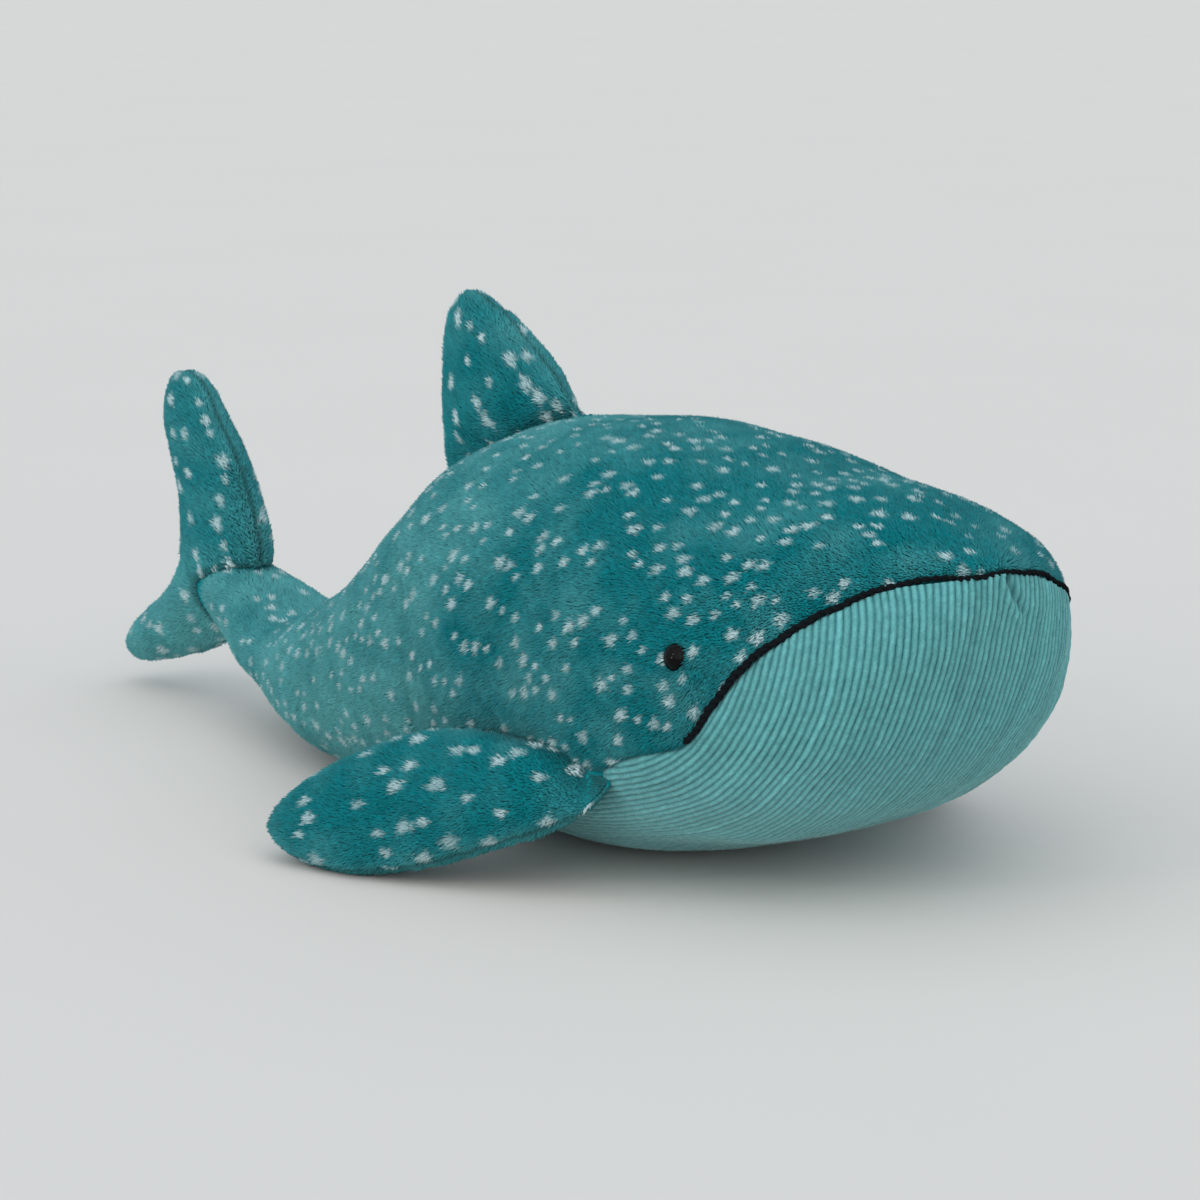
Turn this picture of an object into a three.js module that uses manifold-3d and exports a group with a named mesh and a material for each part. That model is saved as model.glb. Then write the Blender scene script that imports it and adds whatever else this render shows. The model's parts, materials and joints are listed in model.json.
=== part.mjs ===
// Plush whale shark, lying on its belly with the head towards +X.
// Millimetres, +Z up. The toy is mirror symmetric about the XZ plane.
// The origin is under the middle of the whole toy, on the surface it lies on.
import * as THREE from 'three';
import { mergeVertices } from 'three/addons/utils/BufferGeometryUtils.js';
import Module from 'manifold-3d';

// Cloth and clearances
const GAP = 0.3; // between touching pieces
const SWEEP_GAP = 0.5; // between a limb and the piece it swings against
const CLOTH = 3.5; // plush with its pile, or corduroy with its ribs and lining

// Body: place along the toy, half width, height of the back, height of the belly
const BODY_STATIONS = [
  [-312, 10, 64, 47],
  [-300, 13, 66, 41],
  [-262, 22.5, 57, 23.5],
  [-225, 35, 52.5, 14.5],
  [-180, 52, 70, 1],
  [-130, 66, 103, -0.5],
  [-80, 79, 138.5, -0.5],
  [-30, 87, 149, -0.5],
  [20, 89.5, 149, 1.5],
  [70, 87, 141.5, 11],
  [120, 85, 138, 15],
];
const NOSE_X = 162; // foremost point of the head
const NOSE_Z = 118.5; // its height, level with the middle of the mouth
const HEAD_ROUNDING_X = 55; // where the head starts to round off
const WIDEST_HEIGHT_SHARE = 0.46; // how far up each section is widest
const ROUND_SIDE = 2.2; // exponents of the rounding, 2 is an ellipse
const ROUND_BACK = 2.4;
const SECTION_UPPER = 2.2;
const SECTION_LOWER = 2.4;

// Seam between plush back and corduroy belly, seen from the side: place, height
const SEAM_POINTS = [
  [-80, -4],
  [-50, 2],
  [-8, 11.5],
  [28, 31],
  [66, 50.5],
  [93.5, 60],
  [108, 80.5],
  [122, 96.5],
  [141, 111.3],
  [157, 117.6],
  [170, 119],
];
const MOUTH_CORNER_X = 93.5;
const YARN_RADIUS = 1.4;

// Eyes
const EYE_X = 89.5;
const EYE_Z = 89;
const EYE_RADIUS = 5;
const EYE_DOME = 4.5; // height of the dome over its flat back
const EYE_SINK = 2; // how deep the flat back sits in the pile
const SHANK_RADIUS = 2;
const WASHER_RADIUS = 7;
const WASHER_THICKNESS = 1.5;
const SHANK_TAIL = 3; // shank showing behind the washer

// Bean pouch in the bottom of the filling
const POUCH_CENTRE = [15, 0, 18];
const POUCH_RADII = [62, 46, 22];

// Tail: swings sideways about an upright line through the narrowing body
const TAIL_HINGE_X = -200;
const TAIL_BARREL = 1.08; // barrel radius over the body's half width at the hinge

// Tail fin: swings sideways about an upright line in the end of the tail
const FIN_HINGE_X = -284;
const FIN_SWING = 30; // degrees each way
// along and up in the XZ plane, half width, half thickness
const TAIL_FIN_STATIONS = [
  [-369, 14, 8.5, 9],
  [-342, 25, 12.5, 12],
  [-315, 39, 18.5, 14],
  [-296.5, 58, 26.5, 15],
  [-300.5, 85.5, 23.5, 13],
  [-313.5, 111, 18, 11],
  [-328.5, 137, 14.5, 9],
];
const TAIL_FIN_TIP = 22; // length over which each tip rounds off

// Dorsal fin: flops sideways about the line where it is sewn to the back
const DORSAL_REAR_X = -145;
const DORSAL_FRONT_X = -57;
const DORSAL_LINE_LIFT = 5.4; // the line runs level with the back's crown
const DORSAL_FLOP = 35; // degrees each way
// along the sewn line from its middle, up from it, half width, half thickness
const DORSAL_STATIONS = [
  [6, -9, 49, 13],
  [6, 0, 45.5, 13],
  [8, 18, 36.5, 13],
  [9, 37, 26.5, 11.5],
  [10, 53.5, 18, 9],
  [13, 66, 14, 7.5],
];
const DORSAL_TAPER = 22; // the root thins down over this height
const DORSAL_TIP = 20;

// Flippers: swing out from the sides about the line where they are sewn on
const FLIPPER_ROOT = [53.5, -83, 40.5];
const FLIPPER_TIP = [-63.5, -132.5, 13];
const FLIPPER_EDGE = [-0.15, 0.55, 0.82]; // roughly from lower to upper edge
const FLIPPER_SWING = 65; // degrees outwards
// across the blade, out along it, half width, half thickness
const FLIPPER_STATIONS = [
  [0, -4, 10, 12],
  [0, 6, 12.5, 12],
  [1, 33, 19.5, 12],
  [3, 65.5, 26, 12.5],
  [1, 99, 23, 12.5],
  [0, 134.5, 15.5, 10],
];
const FLIPPER_TAPER = 30;
const FLIPPER_TIP_ROUNDING = 38;

const ROOT_MIN = 1.2; // half thickness of a root right at its stitches
const ROOT_CLOTH = 13; // a sewn root is cloth only up to here, then the filling starts
const LENS = 1.8; // section exponent of a fin, below 2 draws the edges in
const FIN_ROUNDING = 2.2; // exponent of a fin tip's rounding, 2 is an ellipse
const FIN_EASING = 1.6; // above 1 sets a fin's sections closer towards its tip
const HEADING_STEP = 0.01; // share of a centre line over which its heading is taken

// Facets
const BODY_SECTIONS = 10;
const HEAD_SECTIONS = 7;
const BODY_SIDES = 24;
const LINING_SIDES = 16; // of the body's surfaces that lie inside
const FIN_SECTIONS = 9;
const FIN_SIDES = 12;
const TAIL_BARREL_SIDES = 24;
const FIN_BARREL_SIDES = 20;
const EYE_SIDES = 16;
const DOME_STEPS = 5;
const MOUTH_STEPS = 32;
const YARN_SIDES = 6;
const SEAM_STEPS = 28;
const CENTRE_LINE_STEPS = 60; // steps in which a fin's centre line is measured
const SWING_STEP = 30; // largest turn between two swung copies, in degrees

const REACH = 900; // size of a cutting block, larger than the toy
const SAME_POINT = 1e-4; // corners closer than this are one

const wasm = await Module();
wasm.setup();

const radians = THREE.MathUtils.degToRad;
const clamp01 = (value) => Math.min(1, Math.max(0, value));

// Cubic through stations [place, value...]: each slope is the mean of its neighbours' slopes.
function smooth(stations, place, column) {
  const last = stations.length - 1;
  let i = 0;
  while (i < last - 1 && place > stations[i + 1][0]) i += 1;
  const slope = (k) => {
    const low = stations[Math.max(k - 1, 0)];
    const high = stations[Math.min(k + 1, last)];
    return (high[column] - low[column]) / (high[0] - low[0]);
  };
  const [from, to] = [stations[i], stations[i + 1]];
  const span = to[0] - from[0];
  const t = (place - from[0]) / span;
  if (t > 1) return to[column] + (place - to[0]) * slope(last);
  const [t2, t3] = [t * t, t * t * t];
  return (
    from[column] * (2 * t3 - 3 * t2 + 1) +
    slope(i) * span * (t3 - 2 * t2 + t) +
    to[column] * (3 * t2 - 2 * t3) +
    slope(i + 1) * span * (t3 - t2)
  );
}

// Height of the seam over a place along the toy.
const seamHeight = (x) => smooth(SEAM_POINTS, x, 1);

// Closed mesh from rings of points: the first and last ring are closed by fans
// to their middle, or run to a single point where the ring has shrunk to one.
function ringsToGeometry(rings) {
  const sides = rings[0].length;
  const corners = [];
  const faces = [];
  rings.forEach((ring) => ring.forEach((p) => corners.push(...p)));
  const middle = (ring) => {
    const sum = [0, 0, 0];
    ring.forEach((p) => p.forEach((value, axis) => (sum[axis] += value / sides)));
    return sum;
  };
  const first = rings.length * sides;
  corners.push(...middle(rings[0]), ...middle(rings.at(-1)));
  for (let j = 0; j < sides; j += 1) {
    const k = (j + 1) % sides;
    for (let i = 0; i < rings.length - 1; i += 1) {
      const [a, b, c, d] = [i * sides + j, i * sides + k, (i + 1) * sides + k, (i + 1) * sides + j];
      faces.push(a, b, c, a, c, d);
    }
    const end = (rings.length - 1) * sides;
    faces.push(first, k, j, first + 1, end + j, end + k);
  }
  const geometry = new THREE.BufferGeometry();
  geometry.setAttribute('position', new THREE.Float32BufferAttribute(corners, 3));
  geometry.setIndex(faces);
  return geometry;
}

// Solid from a closed geometry, moved by a matrix if one is given.
function solid(geometry, matrix = new THREE.Matrix4()) {
  const bare = geometry.clone().applyMatrix4(matrix);
  bare.deleteAttribute('normal');
  bare.deleteAttribute('uv');
  const merged = mergeVertices(bare, SAME_POINT);
  return new wasm.Manifold(
    new wasm.Mesh({
      numProp: 3,
      vertProperties: new Float32Array(merged.attributes.position.array),
      triVerts: new Uint32Array(merged.index.array),
    }),
  );
}

// Geometry with the corners and faces of a solid.
function geometryOf(made) {
  const { vertProperties, triVerts } = made.getMesh();
  const geometry = new THREE.BufferGeometry();
  geometry.setAttribute('position', new THREE.BufferAttribute(vertProperties, 3));
  geometry.setIndex(Array.from(triVerts));
  return geometry;
}

// Signed power, for superellipse sections.
const bulge = (value, exponent) => Math.sign(value) * Math.abs(value) ** (2 / exponent);

// Half width, back, belly and widest height of the body, drawn in by an inset.
function bodySection(x, inset) {
  const nose = NOSE_X - inset;
  const share = clamp01((x - HEAD_ROUNDING_X) / (nose - HEAD_ROUNDING_X));
  const sideCap = Math.sqrt(1 - share ** ROUND_SIDE);
  const backCap = Math.sqrt(1 - share ** ROUND_BACK);
  const half = (smooth(BODY_STATIONS, x, 1) - inset) * sideCap;
  const top = NOSE_Z + (smooth(BODY_STATIONS, x, 2) - inset - NOSE_Z) * backCap;
  const bottom = NOSE_Z + (smooth(BODY_STATIONS, x, 3) + inset - NOSE_Z) * sideCap;
  const widest = bottom + (top - bottom) * WIDEST_HEIGHT_SHARE;
  return { half, top, bottom, widest };
}

// Distance from the middle plane to the cloth, at a place and height on the body.
function bodySide(x, z) {
  const { half, top, bottom, widest } = bodySection(x, 0);
  const upper = z > widest;
  const reach = upper ? top - widest : widest - bottom;
  const exponent = upper ? SECTION_UPPER : SECTION_LOWER;
  const share = clamp01(Math.abs(z - widest) / Math.max(reach, 1e-6));
  return half * (1 - share ** exponent) ** (1 / exponent);
}

// The whole body from tail end to nose, drawn in by an inset or let out by a negative one.
function bodySolid(inset) {
  const start = BODY_STATIONS[0][0];
  const nose = NOSE_X - inset;
  const sides = inset > 0 ? LINING_SIDES : BODY_SIDES;
  const places = [];
  for (let i = 0; i < BODY_SECTIONS; i += 1) {
    places.push(start + ((HEAD_ROUNDING_X - start) * i) / BODY_SECTIONS);
  }
  for (let i = 0; i < HEAD_SECTIONS; i += 1) {
    const turn = (Math.PI / 2) * (i / HEAD_SECTIONS);
    places.push(HEAD_ROUNDING_X + (nose - HEAD_ROUNDING_X) * Math.sin(turn));
  }
  const rings = places.map((x) => {
    const { half, top, bottom, widest } = bodySection(x, inset);
    return Array.from({ length: sides }, (_, j) => {
      const turn = (2 * Math.PI * j) / sides;
      const [across, up] = [Math.cos(turn), Math.sin(turn)];
      const upper = up > 0;
      const exponent = upper ? SECTION_UPPER : SECTION_LOWER;
      const reach = upper ? top - widest : widest - bottom;
      return [x, half * bulge(across, exponent), widest + reach * bulge(up, exponent)];
    });
  });
  rings.push(Array.from({ length: sides }, () => [nose, 0, NOSE_Z]));
  return solid(ringsToGeometry(rings));
}

// A puffed fin or flipper: sections along a centre line through the stations.
// frame maps across, along and thickness to space; a round start or end is drawn
// to a tip, and taper thins a sewn root down over a distance from the sewn line.
function finSolid(stations, frame, inset, { tip, roundStart = false, taper = 0 }) {
  const count = stations.length - 1;
  const numbered = stations.map((row, i) => [i / count, ...row]);
  const along = (t) => [smooth(numbered, t, 1), smooth(numbered, t, 2)];
  const measured = [0];
  const steps = CENTRE_LINE_STEPS;
  for (let i = 0; i < steps; i += 1) {
    const [a, b] = [along(i / steps), along((i + 1) / steps)];
    measured.push(measured[i] + Math.hypot(b[0] - a[0], b[1] - a[1]));
  }
  const length = measured[steps];
  const place = (distance) => {
    let i = 0;
    while (i < steps - 1 && measured[i + 1] < distance) i += 1;
    return (i + (distance - measured[i]) / (measured[i + 1] - measured[i])) / steps;
  };
  const low = roundStart || inset === 0 ? inset : ROOT_CLOTH + inset;
  const high = length - inset;
  const rings = [];
  for (let i = 0; i <= FIN_SECTIONS; i += 1) {
    const share = i / FIN_SECTIONS;
    const bothEnds = (1 - Math.cos(Math.PI * share)) / 2;
    const eased = roundStart ? bothEnds : 1 - (1 - share) ** FIN_EASING;
    const distance = low + (high - low) * eased;
    const t = place(distance);
    const [x, y] = along(t);
    const [before, after] = [along(t - HEADING_STEP), along(t + HEADING_STEP)];
    const heading = Math.atan2(after[1] - before[1], after[0] - before[0]);
    const left = roundStart ? Math.min(distance - low, high - distance) : high - distance;
    const cap = Math.sqrt(1 - (1 - clamp01(left / tip)) ** FIN_ROUNDING);
    const thin = taper ? Math.sin((Math.PI / 2) * clamp01(y / taper)) : 1;
    const half = (smooth(numbered, t, 3) - inset) * cap;
    const thick = (Math.max(smooth(numbered, t, 4) * thin, ROOT_MIN) - inset) * cap;
    rings.push(
      Array.from({ length: FIN_SIDES }, (_, j) => {
        const turn = (2 * Math.PI * j) / FIN_SIDES;
        const across = half * Math.cos(turn);
        const point = new THREE.Vector3(
          x - across * Math.sin(heading),
          y + across * Math.cos(heading),
          thick * bulge(Math.sin(turn), LENS),
        );
        return point.applyMatrix4(frame).toArray();
      }),
    );
  }
  return solid(ringsToGeometry(rings));
}

// Upright cylinder about a line at x on the middle plane.
function barrel(x, radius, sides) {
  const turned = new THREE.Matrix4().makeRotationX(Math.PI / 2).setPosition(x, 0, 0);
  return solid(new THREE.CylinderGeometry(radius, radius, REACH, sides), turned);
}

// Hollow that a barrel of a radius turns in: its flats lie at that radius.
const hollow = (x, radius, sides) => barrel(x, radius / Math.cos(Math.PI / sides), sides);

// Box of the cutting block's size whose low corner plane along one axis is at a value.
function block(axis, value, side) {
  const centre = [0, 0, 0];
  centre[axis] = value + (side * REACH) / 2;
  const placed = new THREE.Matrix4().setPosition(...centre);
  return solid(new THREE.BoxGeometry(REACH, REACH, REACH), placed);
}

// Rotation of a solid about a line through a point.
function swung(made, point, direction, degrees) {
  const turn = new THREE.Matrix4()
    .makeTranslation(...point)
    .multiply(new THREE.Matrix4().makeRotationAxis(direction, radians(degrees)))
    .multiply(new THREE.Matrix4().makeTranslation(...point.map((value) => -value)));
  return solid(geometryOf(made), turn);
}

// A solid joined with its copies swung from one angle to another, in degrees.
function swept(made, point, direction, from, to) {
  const count = Math.ceil((to - from) / SWING_STEP);
  let sum = made;
  for (let i = 0; i <= count; i += 1) {
    sum = sum.add(swung(made, point, direction, from + ((to - from) * i) / count));
  }
  return sum;
}

const above = (height) => block(2, height, 1);
const leftOf = (y) => block(1, y, 1);
const rightOf = (y) => block(1, y, -1);

// Body solids at the four depths that the pieces share
const tailBarrel = bodySection(TAIL_HINGE_X, 0).half * TAIL_BARREL;
const finBarrel = bodySection(FIN_HINGE_X, 0).half;
const outerBody = bodySolid(0).intersect(above(0));
const clothLining = bodySolid(CLOTH);
const fillingBody = bodySolid(CLOTH + GAP);
const bodyCloth = outerBody.subtract(clothLining);

const tailHollow = hollow(TAIL_HINGE_X, tailBarrel + GAP, TAIL_BARREL_SIDES);
const tailRound = barrel(TAIL_HINGE_X, tailBarrel, TAIL_BARREL_SIDES);
const frontPart = (made) => made.intersect(block(0, TAIL_HINGE_X, 1)).subtract(tailHollow);
const beforeFin = block(0, FIN_HINGE_X, 1);
const rearPart = (made) => {
  const behindTorso = block(0, TAIL_HINGE_X, -1).add(tailRound);
  const aheadOfFin = beforeFin.add(barrel(FIN_HINGE_X, finBarrel, FIN_BARREL_SIDES));
  return made.intersect(behindTorso).intersect(aheadOfFin);
};

// Everything under the seam, let out upwards by a clearance.
function underSeam(clearance) {
  const outline = new THREE.Shape();
  const [first, last] = [SEAM_POINTS[0][0], SEAM_POINTS.at(-1)[0]];
  outline.moveTo(first, -REACH / 2);
  for (let i = 0; i <= SEAM_STEPS; i += 1) {
    const x = first + ((last - first) * i) / SEAM_STEPS;
    outline.lineTo(x, seamHeight(x) + clearance);
  }
  outline.lineTo(last, -REACH / 2);
  outline.closePath();
  const geometry = new THREE.ExtrudeGeometry(outline, { depth: REACH, bevelEnabled: false });
  const turned = new THREE.Matrix4().makeRotationX(Math.PI / 2).setPosition(0, REACH / 2, 0);
  return solid(geometry, turned);
}

// Line of the mouth over the nose, from the right corner to the left one.
// extra carries it on past the corners.
function mouthLine(extra) {
  const points = [];
  for (let i = -MOUTH_STEPS / 2; i <= MOUTH_STEPS / 2; i += 1) {
    const share = (Math.abs(i) * 2) / MOUTH_STEPS;
    const turn = (Math.PI / 2) * (1 - share);
    const x = MOUTH_CORNER_X - extra + (NOSE_X - MOUTH_CORNER_X + extra) * Math.sin(turn);
    const z = i === 0 ? NOSE_Z : seamHeight(x);
    points.push(new THREE.Vector3(x, Math.sign(i) * bodySide(x, z), z));
  }
  return new THREE.CatmullRomCurve3(points);
}

function yarnGeometry(radius, extra) {
  const corners = Array.from({ length: YARN_SIDES }, (_, i) => {
    const turn = (2 * Math.PI * i) / YARN_SIDES;
    return new THREE.Vector2(radius * Math.cos(turn), radius * Math.sin(turn));
  });
  const section = new THREE.Shape(corners);
  const options = { extrudePath: mouthLine(extra), steps: MOUTH_STEPS, bevelEnabled: false };
  return new THREE.ExtrudeGeometry(section, options);
}

// Place and turn of an eye: its Z axis points straight out of the cloth.
function eyeFrame(side) {
  const at = (x, z) => new THREE.Vector3(x, side * bodySide(x, z), z);
  const centre = at(EYE_X, EYE_Z);
  const along = at(EYE_X + 1, EYE_Z).sub(at(EYE_X - 1, EYE_Z));
  const up = at(EYE_X, EYE_Z + 1).sub(at(EYE_X, EYE_Z - 1));
  const out = new THREE.Vector3().crossVectors(up, along).multiplyScalar(side).normalize();
  along.normalize();
  const third = new THREE.Vector3().crossVectors(out, along);
  return new THREE.Matrix4().makeBasis(along, third, out).setPosition(centre);
}

const washerTop = -(CLOTH + GAP);
const washerBottom = washerTop - WASHER_THICKNESS;
const shankEnd = washerBottom - SHANK_TAIL;

// Dome, flat back and shank, turned about the eye's axis.
function eyeGeometry() {
  const profile = [new THREE.Vector2(0, shankEnd), new THREE.Vector2(SHANK_RADIUS, shankEnd)];
  profile.push(new THREE.Vector2(SHANK_RADIUS, -EYE_SINK), new THREE.Vector2(EYE_RADIUS, -EYE_SINK));
  for (let i = 1; i <= DOME_STEPS; i += 1) {
    const turn = (Math.PI / 2) * (i / DOME_STEPS);
    const radius = i === DOME_STEPS ? 0 : EYE_RADIUS * Math.cos(turn);
    profile.push(new THREE.Vector2(radius, EYE_DOME * Math.sin(turn) - EYE_SINK));
  }
  return new THREE.LatheGeometry(profile, EYE_SIDES);
}

function washerGeometry() {
  const inner = SHANK_RADIUS + GAP;
  const corners = [
    [inner, washerBottom],
    [WASHER_RADIUS, washerBottom],
    [WASHER_RADIUS, washerTop],
    [inner, washerTop],
    [inner, washerBottom],
  ];
  return new THREE.LatheGeometry(
    corners.map(([x, y]) => new THREE.Vector2(x, y)),
    EYE_SIDES,
  );
}

// A lathed piece stands on +Y; eyes are placed with that axis along their frame's Z.
const latheUp = new THREE.Matrix4().makeRotationX(Math.PI / 2);

function eyePlaced(geometry, side) {
  return solid(geometry, eyeFrame(side).multiply(latheUp));
}

// Round pocket about an eye's axis between two depths.
function eyePocket(side, radius, from, to) {
  const cylinder = new THREE.CylinderGeometry(radius, radius, from - to, EYE_SIDES);
  const middle = new THREE.Matrix4().makeTranslation(0, (from + to) / 2, 0);
  return solid(cylinder, eyeFrame(side).multiply(latheUp).multiply(middle));
}

function ellipsoid(centre, radii) {
  const placed = new THREE.Matrix4().makeTranslation(...centre).scale(new THREE.Vector3(...radii));
  return solid(new THREE.SphereGeometry(1, 24, 12), placed);
}

const group = new THREE.Group();

const finishes = {
  plush: { color: 0x1b7480, roughness: 0.95 },
  finPlush: { color: 0x196a74, roughness: 0.95 },
  cord: { color: 0x64a0a3, roughness: 0.9 },
  filling: { color: 0xf1efe9, roughness: 1 },
  pouch: { color: 0xd9d2c2, roughness: 1 },
  yarn: { color: 0x14181c, roughness: 0.85 },
  bead: { color: 0x08090b, roughness: 0.12 },
  washer: { color: 0xe6e6e2, roughness: 0.5 },
};

// Adds a solid to the toy as a named mesh.
function addPiece(name, made, finish) {
  const geometry = geometryOf(made);
  geometry.computeVertexNormals();
  const material = new THREE.MeshStandardMaterial({ ...finishes[finish], metalness: 0 });
  const piece = new THREE.Mesh(geometry, material);
  piece.name = name;
  group.add(piece);
}

// Torso, its mouth and eyes
const groove = solid(yarnGeometry(YARN_RADIUS + GAP, GAP));
const torsoCloth = frontPart(bodyCloth);
let backCloth = torsoCloth.subtract(underSeam(GAP)).subtract(groove);
let torsoFilling = frontPart(fillingBody);
[1, -1].forEach((side) => {
  const seat = eyePocket(side, EYE_RADIUS + GAP, EYE_DOME, -EYE_SINK - GAP);
  const hole = eyePocket(side, SHANK_RADIUS + GAP, 0, shankEnd);
  const pressed = eyePocket(side, WASHER_RADIUS + GAP, washerTop + GAP, shankEnd);
  backCloth = backCloth.subtract(seat).subtract(hole).subtract(pressed);
  torsoFilling = torsoFilling.subtract(eyePocket(side, WASHER_RADIUS + GAP, 0, shankEnd - GAP));
});
const pouchSpace = ellipsoid(
  POUCH_CENTRE,
  POUCH_RADII.map((radius) => radius + GAP),
);
torsoFilling = torsoFilling.subtract(pouchSpace);

addPiece('back_plush_left', backCloth.intersect(leftOf(GAP / 2)), 'plush');
addPiece('back_plush_right', backCloth.intersect(rightOf(-GAP / 2)), 'plush');
addPiece('belly_cord', torsoCloth.intersect(underSeam(0)).subtract(groove), 'cord');
addPiece('torso_filling', torsoFilling, 'filling');
addPiece('bean_pouch', ellipsoid(POUCH_CENTRE, POUCH_RADII).intersect(frontPart(fillingBody)), 'pouch');
addPiece('mouth_yarn', solid(yarnGeometry(YARN_RADIUS, 0)), 'yarn');
[
  ['left', 1],
  ['right', -1],
].forEach(([word, side]) => {
  addPiece(`eye_${word}`, eyePlaced(eyeGeometry(), side), 'bead');
  addPiece(`eye_washer_${word}`, eyePlaced(washerGeometry(), side), 'washer');
});

// Tail
const tailCloth = rearPart(bodyCloth);
addPiece('tail_plush_left', tailCloth.intersect(leftOf(GAP / 2)), 'plush');
addPiece('tail_plush_right', tailCloth.intersect(rightOf(-GAP / 2)), 'plush');
addPiece('tail_filling', rearPart(fillingBody), 'filling');

// Cloth in two panels and filling of a fin, cut clear of what it swings against.
// clear(depth) is that space let out by a depth, and halves are the two sides.
function addFin(surface, clear, halves, names) {
  const outer = surface(0).subtract(clear(SWEEP_GAP));
  const lining = surface(CLOTH).subtract(clear(SWEEP_GAP + CLOTH));
  const filling = surface(CLOTH + GAP).subtract(clear(SWEEP_GAP + CLOTH + GAP));
  const cloth = outer.subtract(lining);
  addPiece(names[0], cloth.intersect(halves[0]), 'finPlush');
  addPiece(names[1], cloth.intersect(halves[1]), 'finPlush');
  addPiece(names[2], filling, 'filling');
}

const middleHalves = [leftOf(GAP / 2), rightOf(-GAP / 2)];

// Tail fin
const uprightFrame = new THREE.Matrix4().makeRotationX(Math.PI / 2);
const upDirection = new THREE.Vector3(0, 0, 1);
addFin(
  (inset) =>
    finSolid(TAIL_FIN_STATIONS, uprightFrame, inset, { tip: TAIL_FIN_TIP, roundStart: true }),
  (depth) => {
    const swing = (made) =>
      swept(made, [FIN_HINGE_X, 0, 0], upDirection, -FIN_SWING, FIN_SWING);
    const round = hollow(FIN_HINGE_X, finBarrel + depth, FIN_BARREL_SIDES);
    return swing(bodySolid(-depth)).intersect(swing(beforeFin).add(round));
  },
  middleHalves,
  ['tail_fin_plush_left', 'tail_fin_plush_right', 'tail_fin_filling'],
);

// Dorsal fin
const dorsalRear = new THREE.Vector3(DORSAL_REAR_X, 0, bodySection(DORSAL_REAR_X, 0).top);
const dorsalFront = new THREE.Vector3(DORSAL_FRONT_X, 0, bodySection(DORSAL_FRONT_X, 0).top);
const dorsalLine = dorsalFront.clone().sub(dorsalRear).normalize();
const dorsalUp = new THREE.Vector3(-dorsalLine.z, 0, dorsalLine.x);
const dorsalRoot = dorsalRear.clone().add(dorsalFront).multiplyScalar(0.5);
dorsalRoot.addScaledVector(dorsalUp, DORSAL_LINE_LIFT);
const dorsalFrame = new THREE.Matrix4()
  .makeBasis(dorsalLine, dorsalUp, new THREE.Vector3(0, -1, 0))
  .setPosition(dorsalRoot);
addFin(
  (inset) =>
    finSolid(DORSAL_STATIONS, dorsalFrame, inset, { tip: DORSAL_TIP, taper: DORSAL_TAPER }),
  (depth) =>
    swept(bodySolid(-depth), dorsalRoot.toArray(), dorsalLine, -DORSAL_FLOP, DORSAL_FLOP),
  middleHalves,
  ['dorsal_fin_plush_left', 'dorsal_fin_plush_right', 'dorsal_fin_filling'],
);

// Flippers: modelled on the right side and mirrored to the left
const flipperRoot = new THREE.Vector3(...FLIPPER_ROOT);
const flipperOut = new THREE.Vector3(...FLIPPER_TIP).sub(flipperRoot).normalize();
const flipperUp = new THREE.Vector3(...FLIPPER_EDGE);
flipperUp.addScaledVector(flipperOut, -flipperUp.dot(flipperOut)).normalize();
const flipperFace = new THREE.Vector3().crossVectors(flipperUp, flipperOut);
const flipperFrame = new THREE.Matrix4()
  .makeBasis(flipperUp, flipperOut, flipperFace)
  .setPosition(flipperRoot);
const mirror = new THREE.Matrix4().makeScale(1, -1, 1);

function mirrored(made) {
  const geometry = geometryOf(made);
  const order = geometry.index.array;
  for (let i = 0; i < order.length; i += 3) [order[i], order[i + 1]] = [order[i + 1], order[i]];
  return solid(geometry, mirror);
}

const outerHalf = solid(
  new THREE.BoxGeometry(REACH, REACH, REACH),
  flipperFrame.clone().multiply(new THREE.Matrix4().setPosition(0, 0, (REACH + GAP) / 2)),
);
const innerHalf = solid(
  new THREE.BoxGeometry(REACH, REACH, REACH),
  flipperFrame.clone().multiply(new THREE.Matrix4().setPosition(0, 0, -(REACH + GAP) / 2)),
);
const flipperBlade = (inset) =>
  finSolid(FLIPPER_STATIONS, flipperFrame, inset, {
    tip: FLIPPER_TIP_ROUNDING,
    taper: FLIPPER_TAPER,
  }).intersect(above(Math.max(inset, 0)));
const flipperClear = (depth) =>
  swept(bodySolid(-depth), FLIPPER_ROOT, flipperUp, -FLIPPER_SWING, 0);
['right', 'left'].forEach((word) => {
  const placed = word === 'right' ? (made) => made : mirrored;
  addFin(
    (inset) => placed(flipperBlade(inset)),
    (depth) => placed(flipperClear(depth)),
    [placed(outerHalf), placed(innerHalf)],
    ['outer_plush', 'inner_plush', 'filling'].map((part) => `${word}_flipper_${part}`),
  );
});

// The origin goes under the middle of the whole toy.
const extent = new THREE.Box3().setFromObject(group, true);
group.position.x = -(extent.min.x + extent.max.x) / 2;

export default group;
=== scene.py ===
"""Plush whale shark lying on its belly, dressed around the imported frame.

Sizes are millimetres in the drawing frame of the part: +X towards the head, +Y to the
toy's own left, +Z up, with the floor at zero. row() turns them into metres in the row
frame, whose origin lies under the middle of the toy.
"""
import json
import logging
import math
from dataclasses import dataclass, replace
from enum import Enum

import bmesh
import bpy
import numpy as np
from mathutils import Matrix, Vector


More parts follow.
